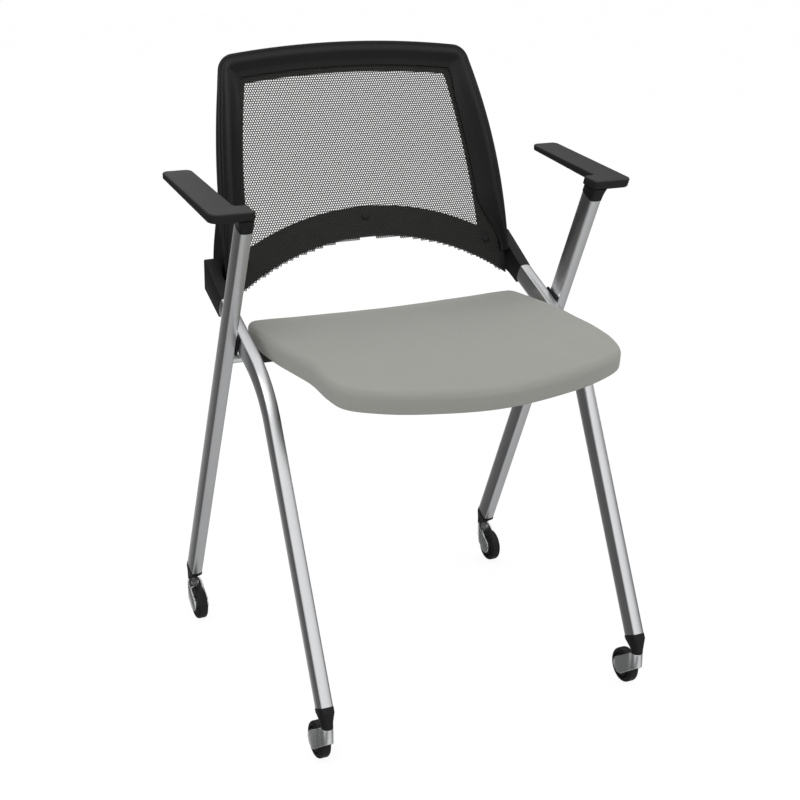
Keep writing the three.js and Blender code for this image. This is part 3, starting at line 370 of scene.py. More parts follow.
@dataclass(frozen=True)
class SeatCloth:
    """Grey-green upholstery cloth in a close plain weave."""

    slot: str = "seat_fabric"
    warp: Tone = (0.382, 0.386, 0.354)
    weft: Tone = (0.326, 0.331, 0.302)
    thread: float = 0.0011
    fleck_scale: float = 620.0
    cloud_scale: float = 16.0
    across: tuple[float, float, float] = (1.0, 0.0, 0.7)
    along: tuple[float, float, float] = (0.0, 1.0, 0.7)
    shares: tuple[float, float, float] = (0.35, 0.45, 0.2)
    roughness: tuple[float, float] = (0.86, 0.1)
    sheen: float = 0.12
    fleck_height: float = 0.8
    bump: tuple[float, float] = (0.45, 0.00025)

    def make(self) -> bpy.types.Material:
        """Builds the material."""
        board = Board(self.slot)
        source = board.node("ShaderNodeTexCoord").outputs["Object"]
        x, y = (board.node("ShaderNodeVectorMath", {"operation": "DOT_PRODUCT"}, {0: source, 1: way}).outputs["Value"]
                for way in (self.across, self.along))
        plane = board.node("ShaderNodeCombineXYZ", None, {0: x, 1: y}).outputs[0]
        bands_a_unit = 20.0
        pitch = math.tau / self.thread / bands_a_unit
        warp, weft = board.wave(plane, "X", pitch), board.wave(plane, "Y", pitch)
        over = board.node("ShaderNodeTexChecker", None, {
            "Vector": plane, "Scale": 1.0 / self.thread, "Color1": (1.0, 1.0, 1.0, 1.0),
            "Color2": (0.0, 0.0, 0.0, 1.0)})
        top = Signal(board, over.outputs["Fac"])
        weave = top * warp + (1.0 - top) * weft
        fleck = board.noise(plane, self.fleck_scale, 3.0)
        clouds = board.noise(plane, self.cloud_scale)
        by_weave, by_fleck, by_clouds = self.shares
        least, more = self.roughness
        board.feed(board.shader, {
            "Base Color": board.blend(
                weave * by_weave + fleck * by_fleck + clouds * by_clouds, self.weft, self.warp),
            "Roughness": least + fleck * more,
            "Sheen Weight": self.sheen,
            "Normal": board.bump(weave + fleck * self.fleck_height, *self.bump),
        })
        return board.material


@dataclass(frozen=True)
class CasterRubber(Coat):
    """Smooth black tread of the wheels."""

    slot: str = "tyre_rubber"
    tone: Tone = (0.007, 0.007, 0.007)
    worn: Tone = (0.015, 0.0145, 0.014)
    grain: tuple[float, float] = (240.0, 5.0)
    roughness: tuple[float, float] = (0.38, 0.24)
    bump: tuple[float, float] = (0.12, 0.0002)
    constants: tuple[tuple[str, float], ...] = (("Specular IOR Level", 0.22),)


class Finish(Enum):
    """Every finish on the chair."""

    TUBE = SatinSteel()
    CHROME = Chrome()
    ZINC = DarkZinc()
    PLASTIC = GrainedPlastic()
    PAD = PadSkin()
    NET = NetYarn()
    CLOTH = SeatCloth()
    RUBBER = CasterRubber()


class Side(Enum):
    """Left and right of the chair, with the sign of X."""

    LEFT = -1
    RIGHT = 1

    @property
    def word(self) -> str:
        """The side's name in piece names."""
        return self.name.lower()


# Lines and outlines

def arc(centre: Sequence[float], radius: float, start: float, end: float, steps: int) -> np.ndarray:
    """Points along a circular arc in a plane.

    Args:
        centre: The arc's centre.
        radius: Its radius.
        start: Its first angle, in radians.
        end: Its last angle.
        steps: How many equal steps it takes.

    Returns:
        One row for each point, both ends included.
    """
    angles = np.linspace(start, end, steps + 1)
    return np.column_stack([centre[0] + radius * np.cos(angles), centre[1] + radius * np.sin(angles)])


def rounded(corners: Sequence[tuple[float, float, float]], steps: int) -> np.ndarray:
    """Outline of a polygon with round corners.

    Args:
        corners: Each corner's place and radius.
        steps: Steps of each round corner.

    Returns:
        The closed outline's points.
    """
    outline = []
    for i, (x, y, radius) in enumerate(corners):
        here = np.array([x, y])
        before, after = (
            (np.array(corners[j % len(corners)][:2]) - here) for j in (i - 1, i + 1))
        before, after = before / np.linalg.norm(before), after / np.linalg.norm(after)
        half = math.acos(max(-1.0, min(1.0, float(before @ after)))) / 2
        middle = before + after
        centre = here + middle / np.linalg.norm(middle) * radius / math.sin(half)
        start = here + before * radius / math.tan(half) - centre
        end = here + after * radius / math.tan(half) - centre
        first = math.atan2(start[1], start[0])
        turn = math.atan2(start[0] * end[1] - start[1] * end[0], float(start @ end))
        outline.append(arc(centre, radius, first, first + turn, steps))
    return np.vstack(outline)


def inset(outline: np.ndarray, distance: float) -> np.ndarray:
    """Moves the points of a closed counter-clockwise outline inward."""
    before = outline - np.roll(outline, 1, axis=0)
    after = np.roll(outline, -1, axis=0) - outline
    normals = []
    for edge in (before, after):
        unit = edge / np.maximum(np.linalg.norm(edge, axis=1, keepdims=True), TINY)
        normals.append(np.column_stack([-unit[:, 1], unit[:, 0]]))
    middle = normals[0] + normals[1]
    middle /= np.maximum(np.linalg.norm(middle, axis=1, keepdims=True), TINY)
    stretch = np.maximum((middle * normals[0]).sum(axis=1, keepdims=True), 0.5)
    return outline + middle * distance / stretch


def stretch(p: Sequence[np.ndarray], steps: int) -> list[np.ndarray]:
    """One stretch of a centripetal spline.

    Args:
        p: Four points, of which the stretch joins the middle two.
        steps: Its samples, from the second point up to just before the third.

    Returns:
        The samples.
    """
    gaps = [max(np.linalg.norm(p[k + 1] - p[k]), TINY) ** 0.5 for k in range(3)]
    slopes = []
    for k in (0, 1):
        slope = ((p[k + 1] - p[k]) / gaps[k] - (p[k + 2] - p[k]) / (gaps[k] + gaps[k + 1])
                 + (p[k + 2] - p[k + 1]) / gaps[k + 1])
        slopes.append(slope * gaps[1])
    return [p[1] * (2 * t ** 3 - 3 * t ** 2 + 1) + slopes[0] * (t ** 3 - 2 * t ** 2 + t)
            + p[2] * (3 * t ** 2 - 2 * t ** 3) + slopes[1] * (t ** 3 - t ** 2)
            for t in np.arange(steps) / steps]


def smooth_loop(points: np.ndarray, steps: int) -> np.ndarray:
    """Closed spline through points, with a number of samples from each to the next."""
    count = len(points)
    return np.array([sample for i in range(count)
                     for sample in stretch([points[(i + k) % count] for k in (-1, 0, 1, 2)], steps)])


def smooth_line(points: np.ndarray, steps: int) -> np.ndarray:
    """Open spline through points, both ends included."""
    whole = np.vstack([2 * points[0] - points[1], points, 2 * points[-1] - points[-2]])
    samples = [sample for i in range(len(points) - 1) for sample in stretch(whole[i:i + 4], steps)]
    return np.array(samples + [points[-1]])


def eased(start: float, end: float, place: float, low: float, high: float) -> float:
    """Goes smoothly from one value to another as a place goes from low to high."""
    share = min(max((place - low) / (high - low), 0.0), 1.0)
    return start + (end - start) * share * share * (3 - 2 * share)


def circle(radius: float, steps: int) -> np.ndarray:
    """Points of a full circle round the origin, each once."""
    return arc((0.0, 0.0), radius, 0.0, math.tau, steps)[:-1]


# Meshes

class Skin:
    """Rings of points joined into smooth closed bodies, with lengths as their texture places."""

    def __init__(self) -> None:
        """Starts with nothing."""
        self.points: list[np.ndarray] = []
        self.faces: list[list[int]] = []
        self.places: list[list[tuple[float, float]]] = []
        self.count = 0

    def loft(self, rings: Rings, closed: bool = False) -> "Skin":
        """Joins rings of equal length.

        Args:
            rings: The rings in order, each one row a point.
            closed: Whether the last ring joins the first, instead of both being filled.

        Returns:
            This skin.
        """
        size, base = len(rings[0]), self.count
        self.points.extend(np.asarray(ring, float) for ring in rings)
        self.count += size * len(rings)
        around = np.concatenate([[0.0], np.cumsum(
            np.linalg.norm(np.roll(rings[0], -1, axis=0) - rings[0], axis=1))])
        middles = [ring.mean(axis=0) for ring in rings]
        steps = [np.linalg.norm(b - a) + 1e-6 for a, b in zip(middles, middles[1:] + middles[:1])]
        along = np.concatenate([[0.0], np.cumsum(steps)])
        for r in range(len(rings) if closed else len(rings) - 1):
            low, high = base + r * size, base + (r + 1) % len(rings) * size
            for i in range(size):
                j = (i + 1) % size
                self.faces.append([low + i, low + j, high + j, high + i])
                self.places.append([
                    (around[i], along[r]), (around[i + 1], along[r]),
                    (around[i + 1], along[r + 1]), (around[i], along[r + 1])])
        if not closed:
            last = base + (len(rings) - 1) * size
            for face in ([base + i for i in reversed(range(size))], [last + i for i in range(size)]):
                self.faces.append(face)
                self.places.append([(0.0, 0.0)] * size)
        return self

    def lathe(self, profile: Sequence[tuple[float, float]], steps: int,
              put: Callable[[np.ndarray], np.ndarray]) -> "Skin":
        """Turns a profile round its axis.

        Args:
            profile: Pairs of radius and distance along the axis.
            steps: Steps round the axis.
            put: Takes points with the axis along Z and puts them in place.

        Returns:
            This skin.
        """
        rings = []
        for radius, along in profile:
            ring = circle(max(radius, 1e-5), steps)
            rings.append(put(np.column_stack([ring, np.full(steps, along)])))
        return self.loft(rings)

    def object(self, name: str, mirror: bool = False, sharp: float = SHARP) -> bpy.types.Object:
        """Makes one object of all the faces.

        Args:
            name: The object's name.
            mirror: Whether it is mirrored over the middle plane of the chair.
            sharp: Edges that turn more than this many degrees stay sharp.

        Returns:
            The new object.
        """
        points = np.vstack(self.points)
        faces, places = self.faces, self.places
        if mirror:
            points = points * (-1.0, 1.0, 1.0)
            faces = [face[::-1] for face in faces]
            places = [place[::-1] for place in places]
        mesh = bpy.data.meshes.new(name)
        mesh.from_pydata(points.tolist(), [], faces)
        layer = mesh.uv_layers.new(name="lengths")
        layer.data.foreach_set("uv", [v for place in places for pair in place for v in pair])
        mesh.validate()
        mesh.update()
        work = bmesh.new()
        work.from_mesh(mesh)
        bmesh.ops.recalc_face_normals(work, faces=work.faces)
        work.to_mesh(mesh)
        work.free()
        mesh.shade_smooth()
        mesh.set_sharp_from_angle(angle=math.radians(sharp))
        made = bpy.data.objects.new(name, mesh)
        bpy.context.scene.collection.objects.link(made)
        return made


def across(x: float, y: float, z: float) -> Callable[[np.ndarray], np.ndarray]:
    """Puts turned points with their axis along X, from a place."""
    return lambda p: np.column_stack([x + p[:, 2], y + p[:, 0], z + p[:, 1]])


def smoothed(obj: bpy.types.Object) -> None:
    """Shades an object smooth, apart from its sharp edges."""
    obj.data.shade_smooth()
    obj.data.set_sharp_from_angle(angle=math.radians(SHARP))


def settled(obj: bpy.types.Object) -> None:
    """Applies every modifier of an object to its mesh."""
    bpy.context.view_layer.update()
    shaped = bpy.data.meshes.new_from_object(obj.evaluated_get(bpy.context.evaluated_depsgraph_get()))
    obj.modifiers.clear()
    obj.data = shaped


def carved(obj: bpy.types.Object, tool: bpy.types.Object) -> bpy.types.Object:
    """Cuts an object by another, which is removed.

    Args:
        obj: The object that is cut.
        tool: The other object.

    Returns:
        The same object.
    """
    change = obj.modifiers.new("carve", "BOOLEAN")
    change.operation = "DIFFERENCE"
    change.object = tool
    change.solver = "EXACT"
    settled(obj)
    bpy.data.objects.remove(tool)
    smoothed(obj)
    return obj


# The chair's shared sizes

@dataclass(frozen=True)
class Lines:
    """Sizes and lines that several sub-assemblies share, before the chair is set over its origin."""

    fit_gap: float = 0.0003
    tube_width: float = 0.0168
    tube_depth: float = 0.031
    tube_wall: float = 0.0016
    tube_mouth: float = 0.03
    tube_arcs: tuple[tuple[float, float], ...] = (
        (0.008193, 83.3116), (0.090, 96.6884), (0.0025, 168.1343), (0.030, 180.0))
    leg_plane: float = 0.229
    leg_foot: tuple[float, float] = (-0.2428, 0.0783)
    leg_lean: float = math.radians(26.1)
    leg_lower_run: float = 0.358
    leg_bend_radius: float = 0.136
    leg_rise: float = math.radians(24.5)
    leg_upper_run: float = 0.117
    side_gap: float = 0.0037
    arm_foot: tuple[float, float] = (0.2245, 0.0766)
    arm_lean: float = math.radians(26.1)
    arm_run: float = 0.640
    rod_height: float = 0.454

    @property
    def arm_plane(self) -> float:
        """Distance from the middle of the chair to the middle of an arm tube."""
        return self.leg_plane + self.tube_width + self.side_gap

    @property
    def leg_direction(self) -> np.ndarray:
        """Way up a front leg's lower run."""
        return np.array([0.0, math.sin(self.leg_lean), math.cos(self.leg_lean)])

    @property
    def arm_direction(self) -> np.ndarray:
        """Way up an arm tube."""
        return np.array([0.0, -math.sin(self.arm_lean), math.cos(self.arm_lean)])

    @property
    def rise_direction(self) -> np.ndarray:
        """Way up a front leg's upper run."""
        return np.array([0.0, math.cos(self.leg_rise), math.sin(self.leg_rise)])

    def arm_line(self, height: float) -> float:
        """Y of the arm tube's middle line at a height."""
        return self.arm_foot[0] - (height - self.arm_foot[1]) * math.tan(self.arm_lean)

    @property
    def rod_y(self) -> float:
        """Y of the seat rod."""
        return self.arm_line(self.rod_height)

    def leg_line(self, steps: int = 28) -> tuple[np.ndarray, np.ndarray]:
        """Middle line of a front leg.

        Args:
            steps: Steps of the bend.

        Returns:
            The stations and the direction at each.
        """
        foot = np.array([0.0, *self.leg_foot])
        start = foot + self.leg_direction * self.leg_lower_run
        centre = start + np.array([0.0, math.cos(self.leg_lean), -math.sin(self.leg_lean)]) * self.leg_bend_radius
        turn = math.pi / 2 - self.leg_rise - self.leg_lean
        points, ways = [foot], [self.leg_direction]
        for angle in np.linspace(0.0, turn, steps + 1):
            back = self.leg_lean + angle
            out = np.array([0.0, -math.cos(back), math.sin(back)])
            points.append(centre + out * self.leg_bend_radius)
            ways.append(np.array([0.0, math.sin(back), math.cos(back)]))
        points.append(points[-1] + self.rise_direction * self.leg_upper_run)
        ways.append(self.rise_direction)
        return np.array(points), np.array(ways)

    @property
    def leg_top(self) -> np.ndarray:
        """End of a front leg's middle line."""
        return self.leg_line()[0][-1]

    @property
    def crossing(self) -> np.ndarray:
        """Where the front leg and the arm tube cross, in the side plane."""
        start = self.leg_line()[0][-2]
        slope = math.tan(self.leg_rise)
        level = (self.arm_foot[0] + self.arm_foot[1] * math.tan(self.arm_lean) - start[1]) * slope + start[2]
        height = level / (1 + slope * math.tan(self.arm_lean))
        return np.array([0.0, self.arm_line(height), height])

    def tube_section(self, offset: float = 0.0, steps: tuple[int, ...] = (12, 6, 6, 4)) -> np.ndarray:
        """Section of the tube stock: a chain of arcs, round behind, gently crowned at the sides and in front.

        Args:
            offset: How far the section grows, or shrinks if negative.
            steps: Steps of each arc.

        Returns:
            The section's outline, with the front towards +Y.
        """
        points, turn = [np.array([0.0, -self.tube_depth / 2 - offset])], 0.0
        for (radius, end), count in zip(self.tube_arcs, steps):
            angles = np.linspace(turn, math.radians(end), count + 1)
            ways = np.column_stack([np.sin(angles), -np.cos(angles)]) * (radius + offset)
            start = points[-1]
            points += [start + way - ways[0] for way in ways[1:]]
            turn = math.radians(end)
        right = np.array(points)
        return np.vstack([right, right[-2:0:-1] * (-1.0, 1.0)])

    @staticmethod
    def ring(section: np.ndarray, x: float, place: np.ndarray, way: np.ndarray) -> np.ndarray:
        """Stands a section across a line in the side plane, its front towards the sitter's knees."""
        front = np.array([0.0, -way[2], way[1]])
        return (np.array([x, 0.0, 0.0]) + place
                + section[:, :1] * np.array([1.0, 0.0, 0.0]) + section[:, 1:] * front)

    def tube(self, x: float, points: Rings, ways: Rings) -> Skin:
        """A tube along a line, open for a stretch at each end.

        Args:
            x: Distance from the middle of the chair.
            points: Stations of its middle line.
            ways: Direction at each station.

        Returns:
            The skin.
        """
        outer, inner = self.tube_section(), self.tube_section(-self.tube_wall)
        rings = [self.ring(inner, x, points[0] + ways[0] * self.tube_mouth, ways[0]),
                 self.ring(inner, x, points[0], ways[0])]
        rings += [self.ring(outer, x, p, w) for p, w in zip(points, ways)]
        rings += [self.ring(inner, x, points[-1], ways[-1]),
                  self.ring(inner, x, points[-1] - ways[-1] * self.tube_mouth, ways[-1])]
        return Skin().loft(rings)


@dataclass
class Workshop:
    """Finishes each piece and fixes it to the body that it moves with."""

    lines: Lines
    shift: float
    finishes: dict[Finish, bpy.types.Material] = field(default_factory=dict)

    def finish(self, finish: Finish) -> bpy.types.Material:
        """The material of a finish, built once."""
        if finish not in self.finishes:
            self.finishes[finish] = finish.value.make()
        return self.finishes[finish]

    def fit(self, obj: bpy.types.Object, finish: Finish, body: str, *nodes: str) -> bpy.types.Object:
        """Finishes a piece and sets it in its place on the chair.

        Args:
            obj: The piece, drawn before the chair was set over its origin.
            finish: Its finish.
            body: The body that it moves with.
            nodes: The CAD nodes that it stands for.

        Returns:
            The same object.
        """
        obj.data.transform(Matrix.Translation((0.0, self.shift, 0.0)))
        obj.data.materials.clear()
        obj.data.materials.append(self.finish(finish))
        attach(obj, body)
        if nodes:
            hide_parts(*nodes)
        LOG.info("%s on %s, %d faces", obj.name, body, len(obj.data.polygons))
        return obj

    def dress(self, node: bpy.types.Object, finish: Finish) -> None:
        """Gives a CAD node that stays the fine material."""
        for slot in node.material_slots:
            slot.material = self.finish(finish)
        LOG.info("%s keeps its CAD shape", node.name)


# Sub-assemblies

@dataclass
class SideFrames:
    """Leg and arm tubes, the blocks where they cross, and the seat's rod."""

    shop: Workshop
    block_length: float = 0.030
    block_corner: float = 0.002
    block_edge: float = 0.0004
    block_steps: int = 8
    rod_radius: float = 0.006
    rod_steps: int = 48

    def build(self) -> None:
        """Builds both sides and the rod."""
        lines = self.shop.lines
        points, ways = lines.leg_line()
        foot = np.array([0.0, *lines.arm_foot])
        run = np.array([foot, foot + lines.arm_direction * lines.arm_run])
        for side in Side:
            for name, node, skin, finish in (
                    ("front_leg", "front_leg_tube", lines.tube(lines.leg_plane, points, ways), Finish.TUBE),
                    ("arm_leg", "arm_leg_tube", lines.tube(lines.arm_plane, run, [lines.arm_direction] * 2),
                     Finish.TUBE),
                    ("crossing_block", "crossing_spacer", self.block(), Finish.PLASTIC)):
                self.shop.fit(skin.object(f"{name}_{side.word}", side is Side.LEFT), finish,
                              "frame", f"{node}_{side.word}")
        self.shop.fit(self.rod().object("seat_turning_rod"), Finish.CHROME, "frame", "seat_rod")

    def block(self) -> Skin:
        """The spacer between the two tubes, with soft edges."""
        lines = self.shop.lines
        start = lines.leg_plane + lines.tube_width / 2 + lines.fit_gap
        end = lines.arm_plane - lines.tube_width / 2 - lines.fit_gap
        half, deep, edge = self.block_length / 2, lines.tube_depth / 2, self.block_edge
        plan = rounded([(along, up, self.block_corner) for along, up in (
            (-half, -deep), (half, -deep), (half, deep), (-half, deep))], self.block_steps)
        cosine, sine = math.cos(lines.leg_rise), math.sin(lines.leg_rise)
        rings = []
        for shrink, x in ((edge, start), (0.0, start + edge), (0.0, end - edge), (edge, end)):
            ring = inset(plan, shrink)
            rings.append(lines.crossing + np.column_stack([
                np.full(len(ring), x), ring[:, 0] * cosine - ring[:, 1] * sine,
                ring[:, 0] * sine + ring[:, 1] * cosine]))
        return Skin().loft(rings)

    def rod(self) -> Skin:
        """The rod that the seat turns on."""
        lines = self.shop.lines
        end = lines.arm_plane - lines.tube_width / 2 + lines.tube_wall
        profile = [(0.0, -end), (self.rod_radius, -end), (self.rod_radius, end), (0.0, end)]
        return Skin().lathe(profile, self.rod_steps, across(0.0, lines.rod_y, lines.rod_height))


@dataclass
class Seat:
    """Upholstered seat, its moulded shell and the sleeves that turn on the rod."""

    shop: Workshop
    width: float = 0.4247
    depth: float = 0.353
    rear_reach: float = 0.038
    top_above_rod: float = 0.0415
    slope: float = math.radians(1.0)
    thickness: float = 0.0281
    side_taper: float = 0.0012
    taper_power: float = 1.25
    top_radius: float = 0.009
    bottom_radius: float = 0.003
    crown: float = 0.004
    dish: float = 0.0024
    fall_start: float = 0.213
    fall_radius: float = 0.372
    shell_share: float = 0.84
    shell_gap: float = 0.0005
    shell_thickness: float = 0.0046
    shell_edge: float = 0.002
    sleeve_radius: float = 0.0105
    sleeve_length: float = 0.062
    sleeve_side_gap: float = 0.0014
    sleeve_edge: float = 0.0012
    web_depth: float = 0.034
    outline_steps: int = 8
    puff: float = 0.002
    slack_power: int = 6
    held_below: float = 1.5
    nearest: int = 12
    voxel: float = 0.009
    pressure: float = 4.0
    steps: int = 12
    outline_shares: tuple[tuple[float, float], ...] = (
        (0.0, 0.976), (0.569, 0.993), (0.84, 1.0), (0.952, 0.984), (0.99, 0.84), (1.0, 0.633),
        (0.982, 0.47), (0.965, 0.328), (0.957, 0.201), (0.911, 0.126), (0.708, 0.064),
        (0.385, 0.021), (0.0, 0.0))

    @property
    def rear(self) -> float:
        """Y of the seat's rear edge."""
        return self.shop.lines.rod_y + self.rear_reach

    @property
    def front(self) -> float:
        """Y of the seat's front edge."""
        return self.rear - self.depth

    def top(self, plan: np.ndarray) -> np.ndarray:
        """Height of the upper surface over points of the plan."""
        x, y = plan[:, 0], plan[:, 1]
        lines = self.shop.lines
        level = lines.rod_height + self.top_above_rod - math.tan(self.slope) * (y - lines.rod_y)
        past = np.maximum(self.rear - self.fall_start - y, 0.0)
        fall = self.fall_radius - np.sqrt(self.fall_radius ** 2 - past ** 2)
        middle = 1.0 - (2.0 * x / self.width) ** 2
        rearward = np.clip((y - lines.rod_y) / self.rear_reach, 0.0, 1.0)
        return level - fall - self.dish * middle * rearward

    def outline(self) -> np.ndarray:
        """Plan of the seat, counter-clockwise from the middle of the rear edge."""
        half = np.array([(-a * self.width / 2, self.front + b * self.depth) for a, b in self.outline_shares])
        whole = np.vstack([half, half[-2:0:-1] * (-1.0, 1.0)])
        return smooth_loop(whole, self.outline_steps)

    def edge_ring(self, distance: float, depth: float) -> np.ndarray:
        """A ring near the edge, at a distance inside the plan and below the top."""
        plan = inset(self.outline(), distance)
        return np.column_stack([plan, self.top(plan) - depth])

    def inner_ring(self, outline: np.ndarray, share: float, depth: float, crown: float = 0.0) -> np.ndarray:
        """A ring of a plan shrunk towards its middle.

        Args:
            outline: The plan.
            share: Its size, as a share.
            depth: Distance below the seat's upper surface.
            crown: Extra height at the middle.

        Returns:
            The ring.
        """
        middle = np.array([0.0, (self.front + self.rear) / 2])
        plan = middle + (outline - middle) * share
        return np.column_stack([plan, self.top(plan) - depth + crown * (1.0 - share ** 2)])

    def build(self) -> None:
        """Builds the cushion, the shell and its sleeves."""
        self.shop.fit(self.cushion(), Finish.CLOTH, "seat", "seat_cushion")
        self.shop.fit(self.pan().object("seat_pan"), Finish.PLASTIC, "seat", "seat_shell")
        for side in Side:
            self.shop.fit(self.sleeve(side), Finish.PLASTIC, "seat")

    def cushion(self) -> bpy.types.Object:
        made = self.puffed(self.padding(self.puff).object("seat_upholstery", sharp=60.0))
        finer = made.modifiers.new("finer", "SUBSURF")
        finer.levels = finer.render_levels = 1
        settled(made)
        made.data.shade_smooth()
        return made

    def padding(self, slack: float) -> Skin:
        """The cushion's shape, crowned above and drawn in below.

        Args:
            slack: How much lower the middle of its top is, before it is puffed up.

        Returns:
            The skin.
        """
        outline = self.outline()
        edge = inset(outline, self.top_radius)
        shares = np.linspace(0.04, 0.97, 14)
        rings = [self.inner_ring(outline, share, self.thickness) for share in np.linspace(0.05, self.shell_share, 6)]
        rings.append(self.edge_ring(self.side_taper + self.bottom_radius * 2, self.thickness))
        for turn in np.linspace(0.0, 1.0, 5) * math.pi / 2:
            rings.append(self.edge_ring(
                self.side_taper + self.bottom_radius * (1 - math.sin(turn)),
                self.thickness - self.bottom_radius * (1 - math.cos(turn))))
        low = self.thickness - self.bottom_radius
        for share in (0.2, 0.4, 0.6, 0.8):
            rings.append(self.edge_ring(
                self.side_taper * (1 - share) ** self.taper_power, low + (self.top_radius - low) * share))
        for turn in np.linspace(0.0, 1.0, 10) * math.pi / 2:
            rings.append(self.edge_ring(
                self.top_radius * (1 - math.cos(turn)), self.top_radius * (1 - math.sin(turn))))
        rings += [self.inner_ring(edge, share, slack * (1 - share ** self.slack_power), self.crown)
                  for share in shares[::-1]]
        return Skin().loft(rings)

    def puffed(self, made: bpy.types.Object) -> bpy.types.Object:
        """Lets air press the cloth up from inside, its sides and underside held to the pan.

        Args:
            made: The cushion, its top a little lower than it ends.

        Returns:
            The same object, with the simulation's movement in its mesh.
        """
        scene = bpy.context.scene
        air = bpy.data.objects.new("air", made.data.copy())
        scene.collection.objects.link(air)
        even = air.modifiers.new("even", "REMESH")
        even.mode, even.voxel_size = "VOXEL", self.voxel
        settled(air)
        count = len(air.data.vertices)
        start = np.empty(count * 3)
        air.data.vertices.foreach_get("co", start)
        start = start.reshape(-1, 3)
        under = self.top(start[:, :2]) - start[:, 2] > self.puff * self.held_below
        held = air.vertex_groups.new(name="held")
        held.add(np.flatnonzero(under).tolist(), 1.0, "REPLACE")
        cloth = air.modifiers.new("cloth", "CLOTH")
        cloth.settings.use_pressure = True
        cloth.settings.uniform_pressure_force = self.pressure
        cloth.settings.vertex_group_mass = "held"
        cloth.settings.effector_weights.gravity = 0.0
        for frame in range(1, self.steps + 1):
            scene.frame_set(frame)
        settled(air)
        end = np.empty(count * 3)
        air.data.vertices.foreach_get("co", end)
        moved = end.reshape(-1, 3) - start
        far = np.linalg.norm(moved, axis=1, keepdims=True)
        moved *= np.minimum(1.0, self.puff / np.maximum(far, TINY))
        LOG.info("cushion pressed out %.4f on average over %d points", float(far.mean()), count)
        tree = KDTree(count)
        for i, point in enumerate(start):
            tree.insert(point, i)
        tree.balance()
        for vertex in made.data.vertices:
            near = [moved[i] for _, i, _ in tree.find_n(vertex.co, self.nearest)]
            vertex.co += Vector(np.mean(near, axis=0))
        bpy.data.objects.remove(air)
        scene.frame_set(1)
        return made

    def pan(self) -> Skin:
        """The moulded pan under the cushion."""
        outline = self.outline()
        top = self.thickness + self.shell_gap
        bottom = top + self.shell_thickness
        rings = [self.inner_ring(outline, share, bottom) for share in np.linspace(0.05, self.shell_share - 0.02, 7)]
        for turn in np.linspace(0.0, 1.0, 5)[1:] * math.pi / 2:
            share = self.shell_share - self.shell_edge / self.width * 2 * (1 - math.sin(turn))
            rings.append(self.inner_ring(outline, share, bottom - self.shell_edge * (1 - math.cos(turn))))
        rings += [self.inner_ring(outline, share, top) for share in np.linspace(self.shell_share, 0.05, 7)]
        return Skin().loft(rings)

    def sleeve(self, side: Side) -> bpy.types.Object:
        """A hinge sleeve, with its web up to the pan."""
        lines = self.shop.lines
        start = lines.leg_plane - lines.tube_width / 2 - self.sleeve_side_gap - self.sleeve_length
        top = self.top_above_rod - self.thickness - self.shell_gap - self.shell_thickness / 2
        web, soft = self.web_depth / 2, self.sleeve_edge
        section = np.vstack([
            arc((0.0, 0.0), self.sleeve_radius, math.pi * 1.02, math.pi * 1.98, 26),
            arc((web, 0.0), web - self.sleeve_radius, math.pi, math.pi / 2, 6),
            [[web, top], [-web, top]],
            arc((-web, 0.0), web - self.sleeve_radius, math.pi / 2, 0.0, 6),
        ])
        rings = []
        for along, shrink in [(0.0, soft), (soft, 0.0), (self.sleeve_length - soft, 0.0), (self.sleeve_length, soft)]:
            ring = inset(section, shrink) if shrink else section
            rings.append(np.column_stack([
                np.full(len(ring), start + along), lines.rod_y + ring[:, 0], lines.rod_height + ring[:, 1]]))
        return Skin().loft(rings).object(f"seat_sleeve_{side.word}", side is Side.LEFT)


